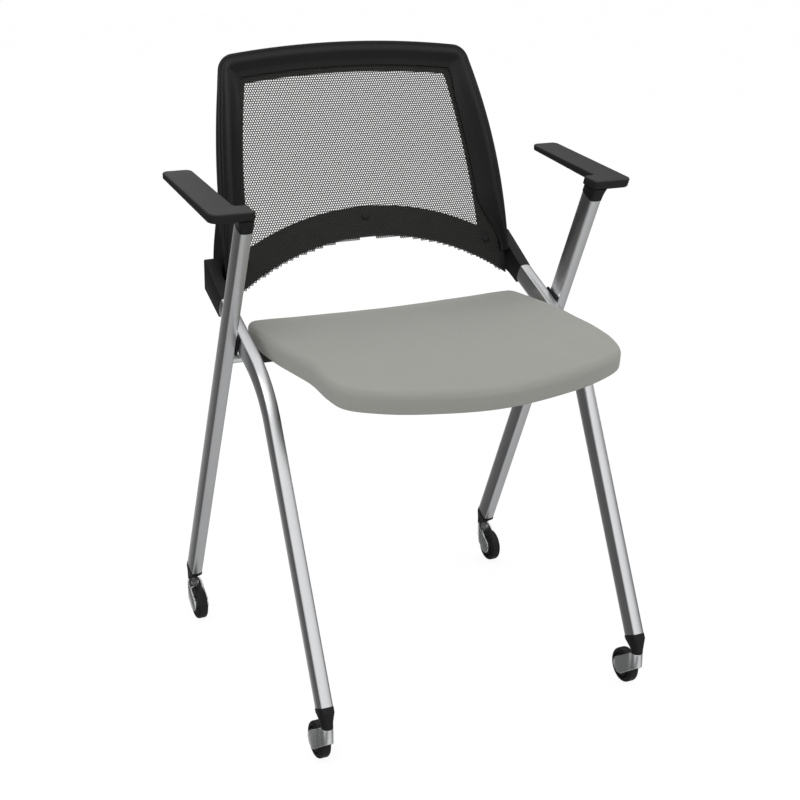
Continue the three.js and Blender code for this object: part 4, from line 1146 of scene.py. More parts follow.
@dataclass
class Backrest:
    """Rear frame, lumbar band, brackets, front rim and the stretched net."""

    shop: Workshop
    base: tuple[float, float] = (0.1331, 0.5859)
    lean: float = math.radians(17.4)
    half_width: float = 0.218
    side_radius: float = 1.230
    side_start: float = -0.020
    top_rise: float = 0.2679
    top_radius: float = 1.350
    corner_radius: float = 0.026
    inner_corner: float = 0.004
    side_steps: int = 30
    corner_steps: int = 14
    top_steps: int = 30
    net_thickness: float = 0.0012
    rim_front: float = 0.0243
    rim_full_rise: float = 0.095
    rim_swell: float = 0.737
    rim_top_front: float = 0.011
    rim_shares: tuple[tuple[float, float], ...] = (
        (0.0, 0.60), (0.018, 0.70), (0.06, 0.745), (0.11, 0.735), (0.15, 0.70), (0.20, 0.72),
        (0.28, 0.90), (0.38, 1.0), (0.46, 0.95), (0.54, 0.81), (0.66, 0.60), (0.76, 0.44))
    rim_lip: float = 0.0018
    rim_draft: float = 0.0024
    rim_foot: float = -0.046
    rim_side_width: float = 0.037
    rim_top_width: float = 0.033
    rim_foot_width: float = 0.009
    rim_narrow_from: float = 0.044
    rim_top_blend: float = 0.040
    frame_rear: float = 0.0105
    frame_foot_rear: float = 0.034
    frame_deepen_from: float = 0.100
    frame_edge: float = 0.005
    frame_inset: float = 0.0032
    frame_edge_inset: float = 0.005
    frame_rear_inset: float = 0.0085
    frame_foot_inset: float = -0.004
    frame_roundness: float = 0.3
    frame_width: float = 0.0415
    frame_foot_width: float = 0.020
    frame_narrow_from: float = -0.010
    band_top: float = 0.0367
    band_top_drop: float = 0.0685
    band_bottom: float = -0.0063
    band_bottom_drop: float = 0.0754
    band_thickness: float = 0.0055
    band_edge: float = 0.0022
    band_stations: int = 81
    band_end: float = 0.0045
    net_inset: float = 0.010
    net_fringe: float = 0.0040
    net_pitch: float = 0.00356
    net_row: float = 0.00317
    net_start: float = -0.085
    net_spare: float = 0.09
    net_open: float = 0.64
    net_fringe_open: float = 0.38
    bracket_top: tuple[float, float] = (0.1476, 0.566)
    bracket_rear: tuple[float, float] = (0.1494, 0.523)
    bracket_edge: float = 0.0022
    bracket_stations: int = 25
    room_depth: float = 0.055
    room_below: float = 0.012
    gusset_width: float = 0.022
    gusset_reach: float = 0.0416
    button_radius: float = 0.005
    button_height: float = 0.0022
    button_flat: float = 0.35
    button_wall: float = 0.45
    button_steps: int = 40
    button_rise: float = 0.022
    button_side: tuple[float, float] = (0.186, -0.026)

    def place(self, x: np.ndarray, rise: np.ndarray, depth: np.ndarray) -> np.ndarray:
        """Points of the backrest from their plan and their depth in front of the net."""
        sine, cosine = math.sin(self.lean), math.cos(self.lean)
        x, rise, depth = np.broadcast_arrays(x, rise, depth)
        return np.column_stack([
            x, self.base[0] + rise * sine - depth * cosine, self.base[1] + rise * cosine + depth * sine])

    def line(self, distance: float, foot: float) -> np.ndarray:
        """A line round the backrest from its right foot to its left.

        Args:
            distance: How far inside the outer edge it runs.
            foot: Rise of its two ends.

        Returns:
            Its points in the plan.
        """
        side, top = self.side_radius - distance, self.top_radius - distance
        corner = max(self.corner_radius - distance, self.inner_corner)
        side_centre = np.array([self.half_width - self.side_radius, self.side_start])
        top_centre = np.array([0.0, self.top_rise - self.top_radius])
        reach = (side - corner, top - corner)
        between = top_centre - side_centre
        apart = np.linalg.norm(between)
        axis = between / apart
        along = (reach[0] ** 2 - reach[1] ** 2 + apart ** 2) / (2 * apart)
        aside = math.sqrt(reach[0] ** 2 - along ** 2)
        middle = side_centre + axis * along + np.array([-axis[1], axis[0]]) * aside
        side_end = math.atan2(*(middle - side_centre)[::-1])
        top_end = math.atan2(*(middle - top_centre)[::-1])
        right = np.vstack([
            arc(side_centre, side, math.asin((foot - self.side_start) / side), side_end, self.side_steps),
            arc(middle, corner, side_end, top_end, self.corner_steps)[1:],
            arc(top_centre, top, top_end, math.pi / 2, self.top_steps)[1:],
        ])
        return np.vstack([right, right[-2::-1] * (-1.0, 1.0)])

    def sweep(self, foot: float, section: Callable[[float], Sequence[tuple[float, float]]]) -> Skin:
        """Sweeps a section of distance and depth round the backrest.

        Args:
            foot: Rise of the two ends.
            section: Gives the section at a rise.

        Returns:
            The skin.
        """
        stations = self.line(0.0, foot)
        sections = [section(rise) for rise in stations[:, 1]]
        cache: dict[float, np.ndarray] = {}
        rings = []
        for i, pairs in enumerate(sections):
            ring = []
            for distance, depth in pairs:
                key = round(distance, 6)
                if key not in cache:
                    cache[key] = self.line(key, foot)
                ring.append((*cache[key][i], depth))
            ring = np.array(ring)
            rings.append(self.place(ring[:, 0], ring[:, 1], ring[:, 2]))
        return Skin().loft(rings)

    def arc_rise(self, middle: float, drop: float, x: np.ndarray) -> np.ndarray:
        """Rise of an arc that falls by a drop from the middle to the backrest's sides."""
        radius = (self.half_width ** 2 + drop ** 2) / (2 * drop)
        return middle - radius + np.sqrt(radius ** 2 - x ** 2)

    def build(self) -> None:
        """Builds every piece of the backrest."""
        fit = self.shop.fit
        for name, node, section in (("back_front_rim", "back_rim", self.rim_section),
                                    ("back_rear_frame", "back_frame", self.frame_section)):
            fit(self.sweep(self.rim_foot, section).object(name), Finish.PLASTIC, "frame", node)
        fit(self.band().object("lumbar_band"), Finish.PLASTIC, "frame")
        for side in Side:
            fit(self.bracket(side), Finish.PLASTIC, "frame")
        net = fit(self.net(), Finish.NET, "frame", "back_net")
        plan = self.net_plan()
        for name, x, rise in [("middle", 0.0, self.button_rise), ("left", -self.button_side[0], self.button_side[1]),
                              ("right", *self.button_side)]:
            fit(self.button(x, rise).object(f"net_stud_{name}"), Finish.PLASTIC, "frame", f"net_button_{name}")

    def rim_section(self, rise: float) -> list[tuple[float, float]]:
        """Section of the front rim: a lip, a groove and a ridge that swells at the sides."""
        full = eased(self.rim_side_width, self.rim_top_width, rise,
                     self.top_rise - self.rim_top_blend * 2, self.top_rise - self.rim_top_blend)
        width = eased(self.rim_foot_width, full, rise, self.rim_foot, self.rim_narrow_from)
        ridge = max(self.rim_front - (rise - self.rim_full_rise) ** 2 / (2 * self.rim_swell), self.rim_top_front)
        rear = self.net_thickness / 2 + self.shop.lines.fit_gap
        knots = np.array([*self.rim_shares, (1.0, (rear + self.rim_lip) / ridge)]) * (width, ridge)
        return [(self.rim_draft, rear), *smooth_line(knots, 4).tolist(), (width, rear)]

    def frame_section(self, rise: float) -> list[tuple[float, float]]:
        """Section of the rear frame: a round-backed channel with a flat flange under the net."""
        front = -self.net_thickness / 2 - self.shop.lines.fit_gap
        width = eased(self.frame_foot_width, self.frame_width, rise, self.rim_foot, self.frame_narrow_from)
        rear = -eased(self.frame_foot_rear, self.frame_rear, rise, self.rim_foot, self.frame_deepen_from)
        inset_rear = eased(self.frame_foot_inset, self.frame_rear_inset, rise, self.rim_foot, self.frame_deepen_from)
        edge, run = -self.frame_edge, inset_rear - self.frame_edge_inset
        section = [(width, front), (self.frame_inset, front), (self.frame_edge_inset, edge)]
        for turn in np.linspace(0.0, 1.0, 7)[1:] * math.pi / 2:
            share = turn * 2 / math.pi * (1 - self.frame_roundness)
            section.append((self.frame_edge_inset + run * (share + self.frame_roundness * (1 - math.cos(turn))),
                            edge + (rear - edge) * (share + self.frame_roundness * math.sin(turn))))
        for t in np.linspace(0.0, 1.0, 9):
            section.append((width * (0.5 + 0.5 * t), eased(rear, front - self.rim_lip, t, 0.0, 1.0)))
        return section[::-1]

    def band(self) -> Skin:
        """The lumbar band between its two arcs, with soft edges behind."""
        front = -self.net_thickness / 2 - self.shop.lines.fit_gap
        rear = front - self.band_thickness
        reach = self.half_width - self.band_end
        soft = self.band_edge
        turns = np.linspace(0.0, math.pi / 2, 6)
        rings = []
        for x in np.linspace(-reach, reach, self.band_stations):
            low = float(self.arc_rise(self.band_bottom, self.band_bottom_drop, x))
            high = float(self.arc_rise(self.band_top, self.band_top_drop, x))
            section = [(low, front), (high, front)]
            section += [(high - soft * (1 - math.cos(a)), rear + soft * (1 - math.sin(a))) for a in turns]
            section += [(low + soft * (1 - math.cos(a)), rear + soft * (1 - math.sin(a))) for a in turns[::-1]]
            section = np.array(section)
            rings.append(self.place(np.full(len(section), x), section[:, 0], section[:, 1]))
        return Skin().loft(rings)

    def bracket(self, side: Side) -> bpy.types.Object:
        """The bracket from the rear frame into a leg tube, its inner side sweeping in to the frame."""
        lines = self.shop.lines
        rise = lines.rise_direction
        normal = np.array([0.0, -rise[2], rise[1]]) * lines.tube_depth / 2
        start = lines.leg_top + rise * lines.fit_gap
        high, low = (start + normal)[1:], (start - normal)[1:]
        rear, top = np.array(self.bracket_rear), np.array(self.bracket_top)
        inner, outer = lines.leg_plane - lines.tube_width / 2, lines.leg_plane + lines.tube_width / 2
        begin = rear[0] - self.gusset_reach
        under = (begin - low[0]) / (rear[0] - low[0])
        over = (begin - high[0]) / (top[0] - high[0])
        soft = self.bracket_edge
        rings = []
        for step in np.linspace(-1.0, 1.0, self.bracket_stations):
            turn = max(step, 0.0) * math.pi / 2
            share = min(step + 1.0, 1.0), math.sin(turn)
            bottom = low + (rear - low) * (under * share[0] + (1 - under) * share[1])
            crown = high + (top - high) * (over * share[0] + (1 - over) * share[1])
            side_x = inner - self.gusset_width * (1 - math.cos(turn))
            deep = float(np.linalg.norm(crown - bottom))
            plan = rounded([(side_x, 0.0, soft), (outer, 0.0, soft), (outer, deep, soft), (side_x, deep, soft)], 5)
            height = plan[:, 1:] / deep
            rings.append(np.column_stack([plan[:, 0], bottom + (crown - bottom) * height]))
        made = Skin().loft(rings).object(f"back_bracket_{side.word}", side is Side.LEFT)
        return carved(made, self.room())

    def room(self) -> bpy.types.Object:
        """The space in front of the net, which the brackets keep out of."""
        front = -self.net_thickness / 2 - self.shop.lines.fit_gap
        gap, deep, wide = self.shop.lines.fit_gap, self.room_depth, self.gusset_width * 2
        foot = self.band_bottom - self.band_bottom_drop - self.room_below
        return self.sweep(foot, lambda rise: [(-gap, front), (-gap, deep), (wide, deep), (wide, front)]).object("room")

    def net_plan(self) -> np.ndarray:
        """Outline of the sheet that the net is cut from."""
        over = self.line(self.net_inset, self.rim_foot)
        x = np.linspace(-over[0, 0], over[0, 0], 41)[1:-1]
        return np.vstack([over, np.column_stack([x, self.fringe_rise(x)])])

    def fringe_rise(self, x: np.ndarray) -> np.ndarray:
        """Rise of the net's lower edge, a little under the band."""
        return self.arc_rise(self.band_bottom - self.net_fringe, self.band_bottom_drop, x)

    def hole_middles(self) -> np.ndarray:
        """Middle of every hole that lies wholly inside the sheet's outline."""
        pitch, row = self.net_pitch, self.net_row
        edge = self.line(self.net_inset, self.rim_foot)
        reach, crest = float(edge[0, 0]), len(edge) // 2
        columns = int(reach / pitch) + 2
        middles = np.array([
            (column * pitch + (i % 2) * pitch / 2, self.net_start + i * row)
            for i in range(int((self.top_rise + self.net_spare) / row)) for column in range(-columns, columns + 1)])
        out, rise = np.abs(middles[:, 0]), middles[:, 1]
        side, over = edge[:crest + 1], edge[crest:self.side_steps - 1:-1]
        inside = ((out < np.interp(rise, side[:, 1], side[:, 0]) - pitch / 2)
                  & (rise < np.interp(out, over[:, 0], over[:, 1]) - row / 2)
                  & (rise > self.fringe_rise(np.clip(out, 0.0, reach)) + row / 2))
        return middles[inside]

    def net(self) -> bpy.types.Object:
        """The net: staggered six-sided holes in one stretched sheet."""
        middles = self.hole_middles()
        reach = float(self.line(self.net_inset, self.rim_foot)[0, 0])
        wide, high = self.net_pitch / 2, self.net_row * 2 / 3
        corners = np.array([(0.0, -high), (wide, -high / 2), (wide, high / 2),
                            (0.0, high), (-wide, high / 2), (-wide, -high / 2)])
        grid = np.array([self.net_pitch / 4, self.net_row / 12])
        index: dict[tuple[int, int], int] = {}
        points: list[tuple[float, float]] = []
        faces = []
        for middle in middles:
            outer = []
            for corner in middle + corners:
                key = tuple(np.rint(corner / grid).astype(int).tolist())
                if key not in index:
                    index[key] = len(points)
                    points.append(tuple(corner.tolist()))
                outer.append(index[key])
            first = len(points)
            bound = self.arc_rise(self.band_bottom, self.band_bottom_drop, min(abs(middle[0]), reach))
            share = self.net_open if middle[1] > bound + self.net_row / 2 else self.net_fringe_open
            points.extend(tuple(p) for p in (middle + corners * share).tolist())
            faces += [[outer[i], outer[j], first + j, first + i] for i, j in zip(range(6), (1, 2, 3, 4, 5, 0))]
        plan = np.array(points)
        mesh = bpy.data.meshes.new("back_mesh")
        mesh.from_pydata(self.place(plan[:, 0], plan[:, 1], 0.0).tolist(), [], faces)
        made = bpy.data.objects.new("back_mesh", mesh)
        bpy.context.scene.collection.objects.link(made)
        body = made.modifiers.new("thickness", "SOLIDIFY")
        body.thickness, body.offset = self.net_thickness / 2, 0.0
        settled(made)
        smoothed(made)
        return made

    def button(self, x: float, rise: float) -> Skin:
        """A stud that pins the net to the band."""
        seat = self.net_thickness / 2 + self.shop.lines.fit_gap
        radius, height = self.button_radius, self.button_height
        flat, wall = self.button_flat, self.button_wall
        head = [(0.0, seat), (radius, seat), (radius, seat + height * wall)]
        for turn in np.linspace(0.0, 1.0, 6)[1:] * math.pi / 2:
            head.append((radius * (flat + (1 - flat) * math.cos(turn)),
                         seat + height * (wall + (1 - wall) * math.sin(turn))))
        head.append((0.0, seat + height))
        return Skin().lathe(head, self.button_steps, lambda p: self.place(x + p[:, 0], rise + p[:, 1], p[:, 2]))


@dataclass
class Arms:
    """Arm pads and the sockets that carry them."""

    shop: Workshop
    outer_x: float = 0.2985
    inner_x: float = 0.2579
    lug_x: float = 0.2405
    front_y: float = -0.08496
    length: float = 0.207
    lug_length: float = 0.034
    top_front: float = 0.67404
    rise: float = math.radians(5.9)
    front_thickness: float = 0.0125
    rear_thickness: float = 0.008
    front_corner: float = 0.013
    rear_corner: float = 0.009
    lug_corner: float = 0.0038
    inner_corner: float = 0.005
    corner_steps: int = 10
    edge: float = 0.003
    under_share: float = 0.6
    smooth_under: float = 50.0
    lip: float = 0.0006
    flare: float = 0.0035

    def top(self, y: np.ndarray) -> np.ndarray:
        """Height of the pad's upper face."""
        return self.top_front + (y - self.front_y) * math.tan(self.rise)

    def thickness(self, y: np.ndarray) -> np.ndarray:
        """Thickness of the pad, less towards the rear."""
        return self.front_thickness + (self.rear_thickness - self.front_thickness) * (y - self.front_y) / self.length

    def leaned(self, plan: np.ndarray, share: np.ndarray) -> np.ndarray:
        """Points at a share of the pad's depth, whose front face leans as the tube does."""
        drop = self.thickness(plan[:, 1]) * share
        lean = math.tan(self.shop.lines.arm_lean) * (1 - (plan[:, 1] - self.front_y) / self.length)
        return np.column_stack([plan[:, 0], plan[:, 1] + drop * lean, self.top(plan[:, 1]) - drop])

    def build(self) -> None:
        """Builds both arms."""
        for side in Side:
            mirror = side is Side.LEFT
            self.shop.fit(self.pad().object(f"arm_rest_{side.word}", mirror, self.smooth_under),
                          Finish.PAD, "frame", f"arm_pad_{side.word}")
            self.shop.fit(self.socket().object(f"arm_post_{side.word}", mirror),
                          Finish.PLASTIC, "frame", f"arm_socket_{side.word}")

    def pad(self) -> Skin:
        """The L-shaped pad with soft edges."""
        rear, lug_rear = self.front_y + self.length, self.front_y + self.lug_length
        plan = rounded([
            (self.lug_x, self.front_y, self.lug_corner), (self.outer_x, self.front_y, self.front_corner),
            (self.outer_x, rear, self.rear_corner), (self.inner_x, rear, self.rear_corner),
            (self.inner_x, lug_rear, self.inner_corner), (self.lug_x, lug_rear, self.lug_corner),
        ], self.corner_steps)
        share = self.edge / self.front_thickness
        turns = np.linspace(0.0, math.pi / 2, 7)
        under = self.under_share
        low = [(self.edge * under * (1 - math.sin(a)), 1 - share * under * (1 - math.cos(a))) for a in turns]
        high = [(self.edge * (1 - math.cos(a)), share * (1 - math.sin(a))) for a in turns]
        return Skin().loft([self.leaned(inset(plan, distance), deep) for distance, deep in low + high])

    def socket(self) -> Skin:
        """The post between the tube's end and the pad, flush with the pad's lug."""
        lines = self.shop.lines
        foot = np.array([0.0, *lines.arm_foot])
        start = foot + lines.arm_direction * (lines.arm_run + lines.fit_gap)
        base = lines.ring(lines.tube_section(self.lip), lines.arm_plane, start, lines.arm_direction)
        ends = self.leaned(np.array([(self.lug_x, self.front_y), (self.lug_x, self.front_y + self.lug_length)]), 1.0)
        slope = (ends[1, 2] - ends[0, 2]) / (ends[1, 1] - ends[0, 1])
        goal = ends[0, 2] - lines.fit_gap / 2 + (base[:, 1] - ends[0, 1]) * slope
        way = lines.arm_direction
        run = (goal - base[:, 2]) / (way[2] - way[1] * slope)
        outer = np.clip((base[:, 0] - lines.arm_plane) / (lines.tube_width / 2), 0.0, 1.0)
        rings = []
        for share in np.linspace(0.0, 1.0, 8):
            ring = base + np.outer(run * share, way)
            ring[:, 0] += outer * self.flare * share ** 2
            rings.append(ring)
        return Skin().loft(rings)


@dataclass
class Casters:
    """Leg plugs and the four swivel casters under them."""

    shop: Workshop
    wheel_radius: float = 0.0242
    tyre_width: float = 0.0146
    tyre_thickness: float = 0.006
    shoulder: float = 0.0036
    trail: float = 0.0275
    swivel_height: float = 0.055
    plug_lip: float = 0.0006
    neck_radius: float = 0.0076
    neck_lift: float = 0.0009
    straight_share: float = 0.22
    stem_radius: float = 0.004
    fork_inner: float = 0.008
    fork_gauge: float = 0.003
    fork_setback: float = 0.0028
    fork_end: float = 0.0123
    fork_end_place: tuple[float, float] = (0.0280, 0.0250)
    fork_tip: float = 0.995
    fork_shoulder: float = 0.004
    fork_drop: float = 0.0185
    fork_edge: float = 0.0003
    fork_lower_edge: float = 0.0014
    fork_nose: tuple[tuple[float, float], ...] = (
        (0.0, -0.0058), (0.00235, -0.00533), (0.00435, -0.0040), (0.00568, -0.0020), (0.00635, 0.0002),
        (0.0070, 0.0024), (0.0083, 0.0050), (0.0093, 0.0080), (0.0095, 0.0110), (0.0095, 0.0150))
    top_gap: float = 0.0001
    core_reach: float = 0.0125
    core_drop: float = 0.001
    core_taper: float = 0.28
    core_height: float = 0.015
    core_edge: float = 0.0004
    core_edge_share: float = 0.04
    rib_power: float = 0.6
    wheel_room: float = 0.0015
    rib_depth: float = 0.0008
    ribs: int = 5
    axle_radius: float = 0.003
    axle_sink: float = 0.0004
    hub_radius: float = 0.0064
    web: float = 0.004
    rim_wall: float = 0.0022
    side_gap: float = 0.0007
    turn_steps: int = 72
    hub_edge: float = 0.0006
    hub_draft: float = 0.0004
    fillet: float = 0.0015
    plug_tongue: float = 0.018
    bore_depth: float = 0.004
    smooth_under: float = 40.0

    def build(self) -> None:
        """Builds the four casters and plugs."""
        lines = self.shop.lines
        for side in Side:
            x = side.value
            self.caster(f"front_{side.word}", x * lines.leg_plane, lines.leg_foot, lines.leg_direction, 1.0)
            self.caster(f"rear_{side.word}", x * lines.arm_plane, lines.arm_foot, lines.arm_direction, -1.0)

    def caster(self, name: str, x: float, foot: tuple[float, float], way: np.ndarray, rear: float) -> None:
        """Builds one plug and caster.

        Args:
            name: The corner's name.
            x: Its distance from the middle plane.
            foot: The tube's lower end, in the side plane.
            way: Direction up the tube.
            rear: 1 where the wheel trails rearward, -1 where it trails forward.
        """
        neck = foot[0] - (foot[1] - self.swivel_height) * way[1] / way[2]
        swivel, wheel = f"swivel_{name}", f"wheel_{name}"
        hub_y = neck + rear * self.trail
        reach = self.fork_inner + self.fork_gauge - self.axle_sink
        axle = [(0.0, -reach), (self.axle_radius, -reach), (self.axle_radius, reach), (0.0, reach)]
        for piece, node, skin, finish, body, sharp in (
                ("foot_plug", "leg_plug", self.plug(x, foot, way, neck), Finish.PLASTIC, "frame", SHARP),
                ("fork_band", "caster_fork", self.fork(x, neck, rear), Finish.CHROME, swivel, self.smooth_under),
                ("ribbed_core", "caster_core", self.core(x, neck, rear), Finish.ZINC, swivel, self.smooth_under),
                ("wheel_tyre", "caster_tyre", self.turned(self.tyre_profile(), x, hub_y), Finish.RUBBER, wheel, SHARP),
                ("wheel_hub", "caster_hub", self.turned(self.hub_profile(), x, hub_y, True), Finish.PLASTIC, wheel,
                 SHARP),
                ("wheel_axle", "caster_axle", self.turned(axle, x, hub_y), Finish.CHROME, swivel, SHARP)):
            self.shop.fit(skin.object(f"{piece}_{name}", sharp=sharp), finish, body, f"{node}_{name}")

    def turned(self, profile: list[tuple[float, float]], x: float, y: float, ring: bool = False) -> Skin:
        """Turns a wheel's profile round its axle."""
        put = across(x, y, self.wheel_radius)
        if not ring:
            return Skin().lathe(profile, self.turn_steps, put)
        rings = [put(np.column_stack([circle(r, self.turn_steps), np.full(self.turn_steps, a)])) for r, a in profile]
        return Skin().loft(rings, closed=True)

    def tyre_profile(self) -> list[tuple[float, float]]:
        """Tyre with round shoulders."""
        inner, half, soft = self.wheel_radius - self.tyre_thickness, self.tyre_width / 2, self.shoulder
        turns = np.linspace(0.0, 1.0, 8) * math.pi / 2
        left = [(self.wheel_radius - soft * (1 - math.sin(a)), -half + soft * (1 - math.cos(a))) for a in turns]
        right = [(r, -along) for r, along in left[::-1]]
        return [(inner, -half)] + left + right + [(inner, half)]

    def hub_profile(self) -> list[tuple[float, float]]:
        """Spool-shaped hub with a thin web."""
        rim = self.wheel_radius - self.tyre_thickness - self.shop.lines.fit_gap
        half, web = self.tyre_width / 2, self.web / 2
        bore, nave = self.axle_radius + self.shop.lines.fit_gap, self.fork_inner - self.side_gap
        outer = rim - self.rim_wall
        edge, draft, fillet, root = self.hub_edge, self.hub_draft, self.fillet, self.hub_radius + self.hub_draft
        left = [(bore, -nave), (self.hub_radius - edge, -nave), (self.hub_radius, -nave + edge),
                (root, -web - fillet), (root + fillet, -web), (outer - fillet, -web), (outer, -web - fillet),
                (outer, -half + draft), (outer + draft, -half), (rim, -half)]
        return left + [(r, -along) for r, along in left[::-1]]

    def plug(self, x: float, foot: tuple[float, float], way: np.ndarray, neck: float) -> Skin:
        """Black plug that tapers from the tube's section to a round neck."""
        lines = self.shop.lines
        section = lines.tube_section(self.plug_lip)
        base = np.array([0.0, *foot]) - way * lines.fit_gap
        upper = lines.ring(section, x, base, way)
        inner = lines.ring(lines.tube_section(-lines.tube_wall - lines.fit_gap), x, base, way)
        round_ring = section / np.linalg.norm(section, axis=1, keepdims=True) * self.neck_radius
        lower = np.column_stack([x + round_ring[:, 0], neck - round_ring[:, 1],
                                 np.full(len(section), self.swivel_height + self.neck_lift)])
        rings = [inner + way * self.plug_tongue, inner]
        for share in np.linspace(0.0, self.straight_share, 5):
            rings.append(upper - np.outer((upper[:, 2] - self.swivel_height) * share / way[2], way))
        start = rings[-1]
        rings += [start + (lower - start) * share for share in np.linspace(0.0, 1.0, 13)[1:]]
        bore = lower.copy()
        bore[:, :2] = (x, neck) + (lower[:, :2] - (x, neck)) * (self.stem_radius / self.neck_radius)
        rings += [bore, bore + (0.0, 0.0, self.bore_depth)]
        return Skin().loft(rings)

    def touch(self, y: float, z: float, side: float) -> tuple[float, float]:
        """Where a line from a point outside touches the fork's round end, above or below it."""
        away = np.array([y, z]) - self.fork_end_place
        angle = math.atan2(away[1], away[0]) - side * math.acos(self.fork_end / float(np.linalg.norm(away)))
        return (self.fork_end_place[0] + self.fork_end * math.cos(angle),
                self.fork_end_place[1] + self.fork_end * math.sin(angle))

    def span(self, y: float) -> tuple[float, float]:
        """Lower and upper height of the fork band at a distance behind the stem."""
        end_y, end_z = self.fork_end_place
        top, front = self.swivel_height - self.top_gap, self.fork_setback - self.fork_inner - self.fork_gauge
        high_end = self.touch(self.fork_shoulder, top, 1.0)
        low_end = self.touch(front, top - self.fork_drop, -1.0)
        cap = math.sqrt(max(self.fork_end ** 2 - (y - end_y) ** 2, 0.0))
        low, high = end_z - cap, end_z + cap
        if y < high_end[0]:
            share = max((y - self.fork_shoulder) / (high_end[0] - self.fork_shoulder), 0.0)
            high = top + (high_end[1] - top) * share
        if y < low_end[0]:
            share = (y - front) / (low_end[0] - front)
            low = top - self.fork_drop + (low_end[1] - top + self.fork_drop) * share
        return low, high

    def nose(self) -> np.ndarray:
        """Middle line of the fork's bend, from its left side round to its right."""
        right = np.array(self.fork_nose)
        return smooth_line(np.vstack([right[:0:-1] * (-1.0, 1.0), right]), 3)

    @staticmethod
    def outward(line: np.ndarray) -> np.ndarray:
        """Unit vectors out of a bend, one at each of its points."""
        along = np.gradient(line, axis=0)
        return np.column_stack([along[:, 1], -along[:, 0]]) / np.linalg.norm(along, axis=1, keepdims=True)

    def fork(self, x: float, neck: float, rear: float) -> Skin:
        """The thick band bent round the stem, its sides sloping down to the axle."""
        end_y = self.fork_end_place[0]
        round_end = end_y + self.fork_end * np.sin(np.linspace(self.fork_tip, 0.0, 16) * math.pi / 2)
        nose = self.nose()
        level = np.linspace(end_y, nose[0, 1], 10)[1:-1]
        straight = np.concatenate([round_end, level])
        path = [(nose[0, 0], y, (-1.0, 0.0)) for y in straight]
        path += [(px, py, normal) for (px, py), normal in zip(nose, self.outward(nose))]
        path += [(nose[-1, 0], y, (1.0, 0.0)) for y in straight[::-1]]

        rings = []
        half = self.fork_gauge / 2
        for px, py, normal in path:
            low, high = self.span(py)
            soft = min(self.fork_edge, (high - low) / 3)
            under = min(self.fork_lower_edge, (high - low) / 3)
            section = rounded([(half, low, under), (half, high, soft), (-half, high, soft), (-half, low, under)], 4)
            rings.append(np.column_stack([
                x + px + section[:, 0] * normal[0], neck + rear * (py + section[:, 0] * normal[1]), section[:, 1]]))
        return Skin().loft(rings)

    def core(self, x: float, neck: float, rear: float) -> Skin:
        """Ribbed core inside the bend of the fork, its foot curved clear of the wheel."""
        nose = self.nose()
        bend = nose - self.outward(nose) * (self.fork_gauge / 2 + self.shop.lines.fit_gap)
        bend = bend[bend[:, 1] < self.core_reach - self.rib_depth]
        reach = float(bend[-1, 0])
        across_x = np.linspace(reach, -reach, self.ribs * 8 + 1)
        wave = 0.5 + 0.5 * np.cos(across_x / reach * self.ribs * math.pi)
        plan = np.vstack([bend, np.column_stack([across_x, self.core_reach - self.rib_depth * wave ** self.rib_power])])
        plan[:, 0] *= 1.0 - self.core_taper * np.clip(plan[:, 1] / self.core_reach, 0.0, 1.0)
        room = self.wheel_radius + self.wheel_room
        top = np.array([self.span(y)[1] for y in plan[:, 1]]) - self.core_drop
        low = np.full(len(plan), top.max() - self.core_height)
        apart = np.clip(room ** 2 - (plan[:, 1] - self.trail) ** 2, 0.0, None)
        low = np.maximum(low, self.wheel_radius + np.sqrt(apart))
        rings = []
        soft, lift = self.core_edge, self.core_edge_share
        for shrink, share in ((soft, 0.0), (0.0, lift), (0.0, 1.0 - lift), (soft, 1.0)):
            ring = plan * (1 - shrink / reach, 1.0)
            height = low + (top - low) * share
            rings.append(np.column_stack([x + ring[:, 0], neck + rear * ring[:, 1], height]))
        return Skin().loft(rings)


# Studio

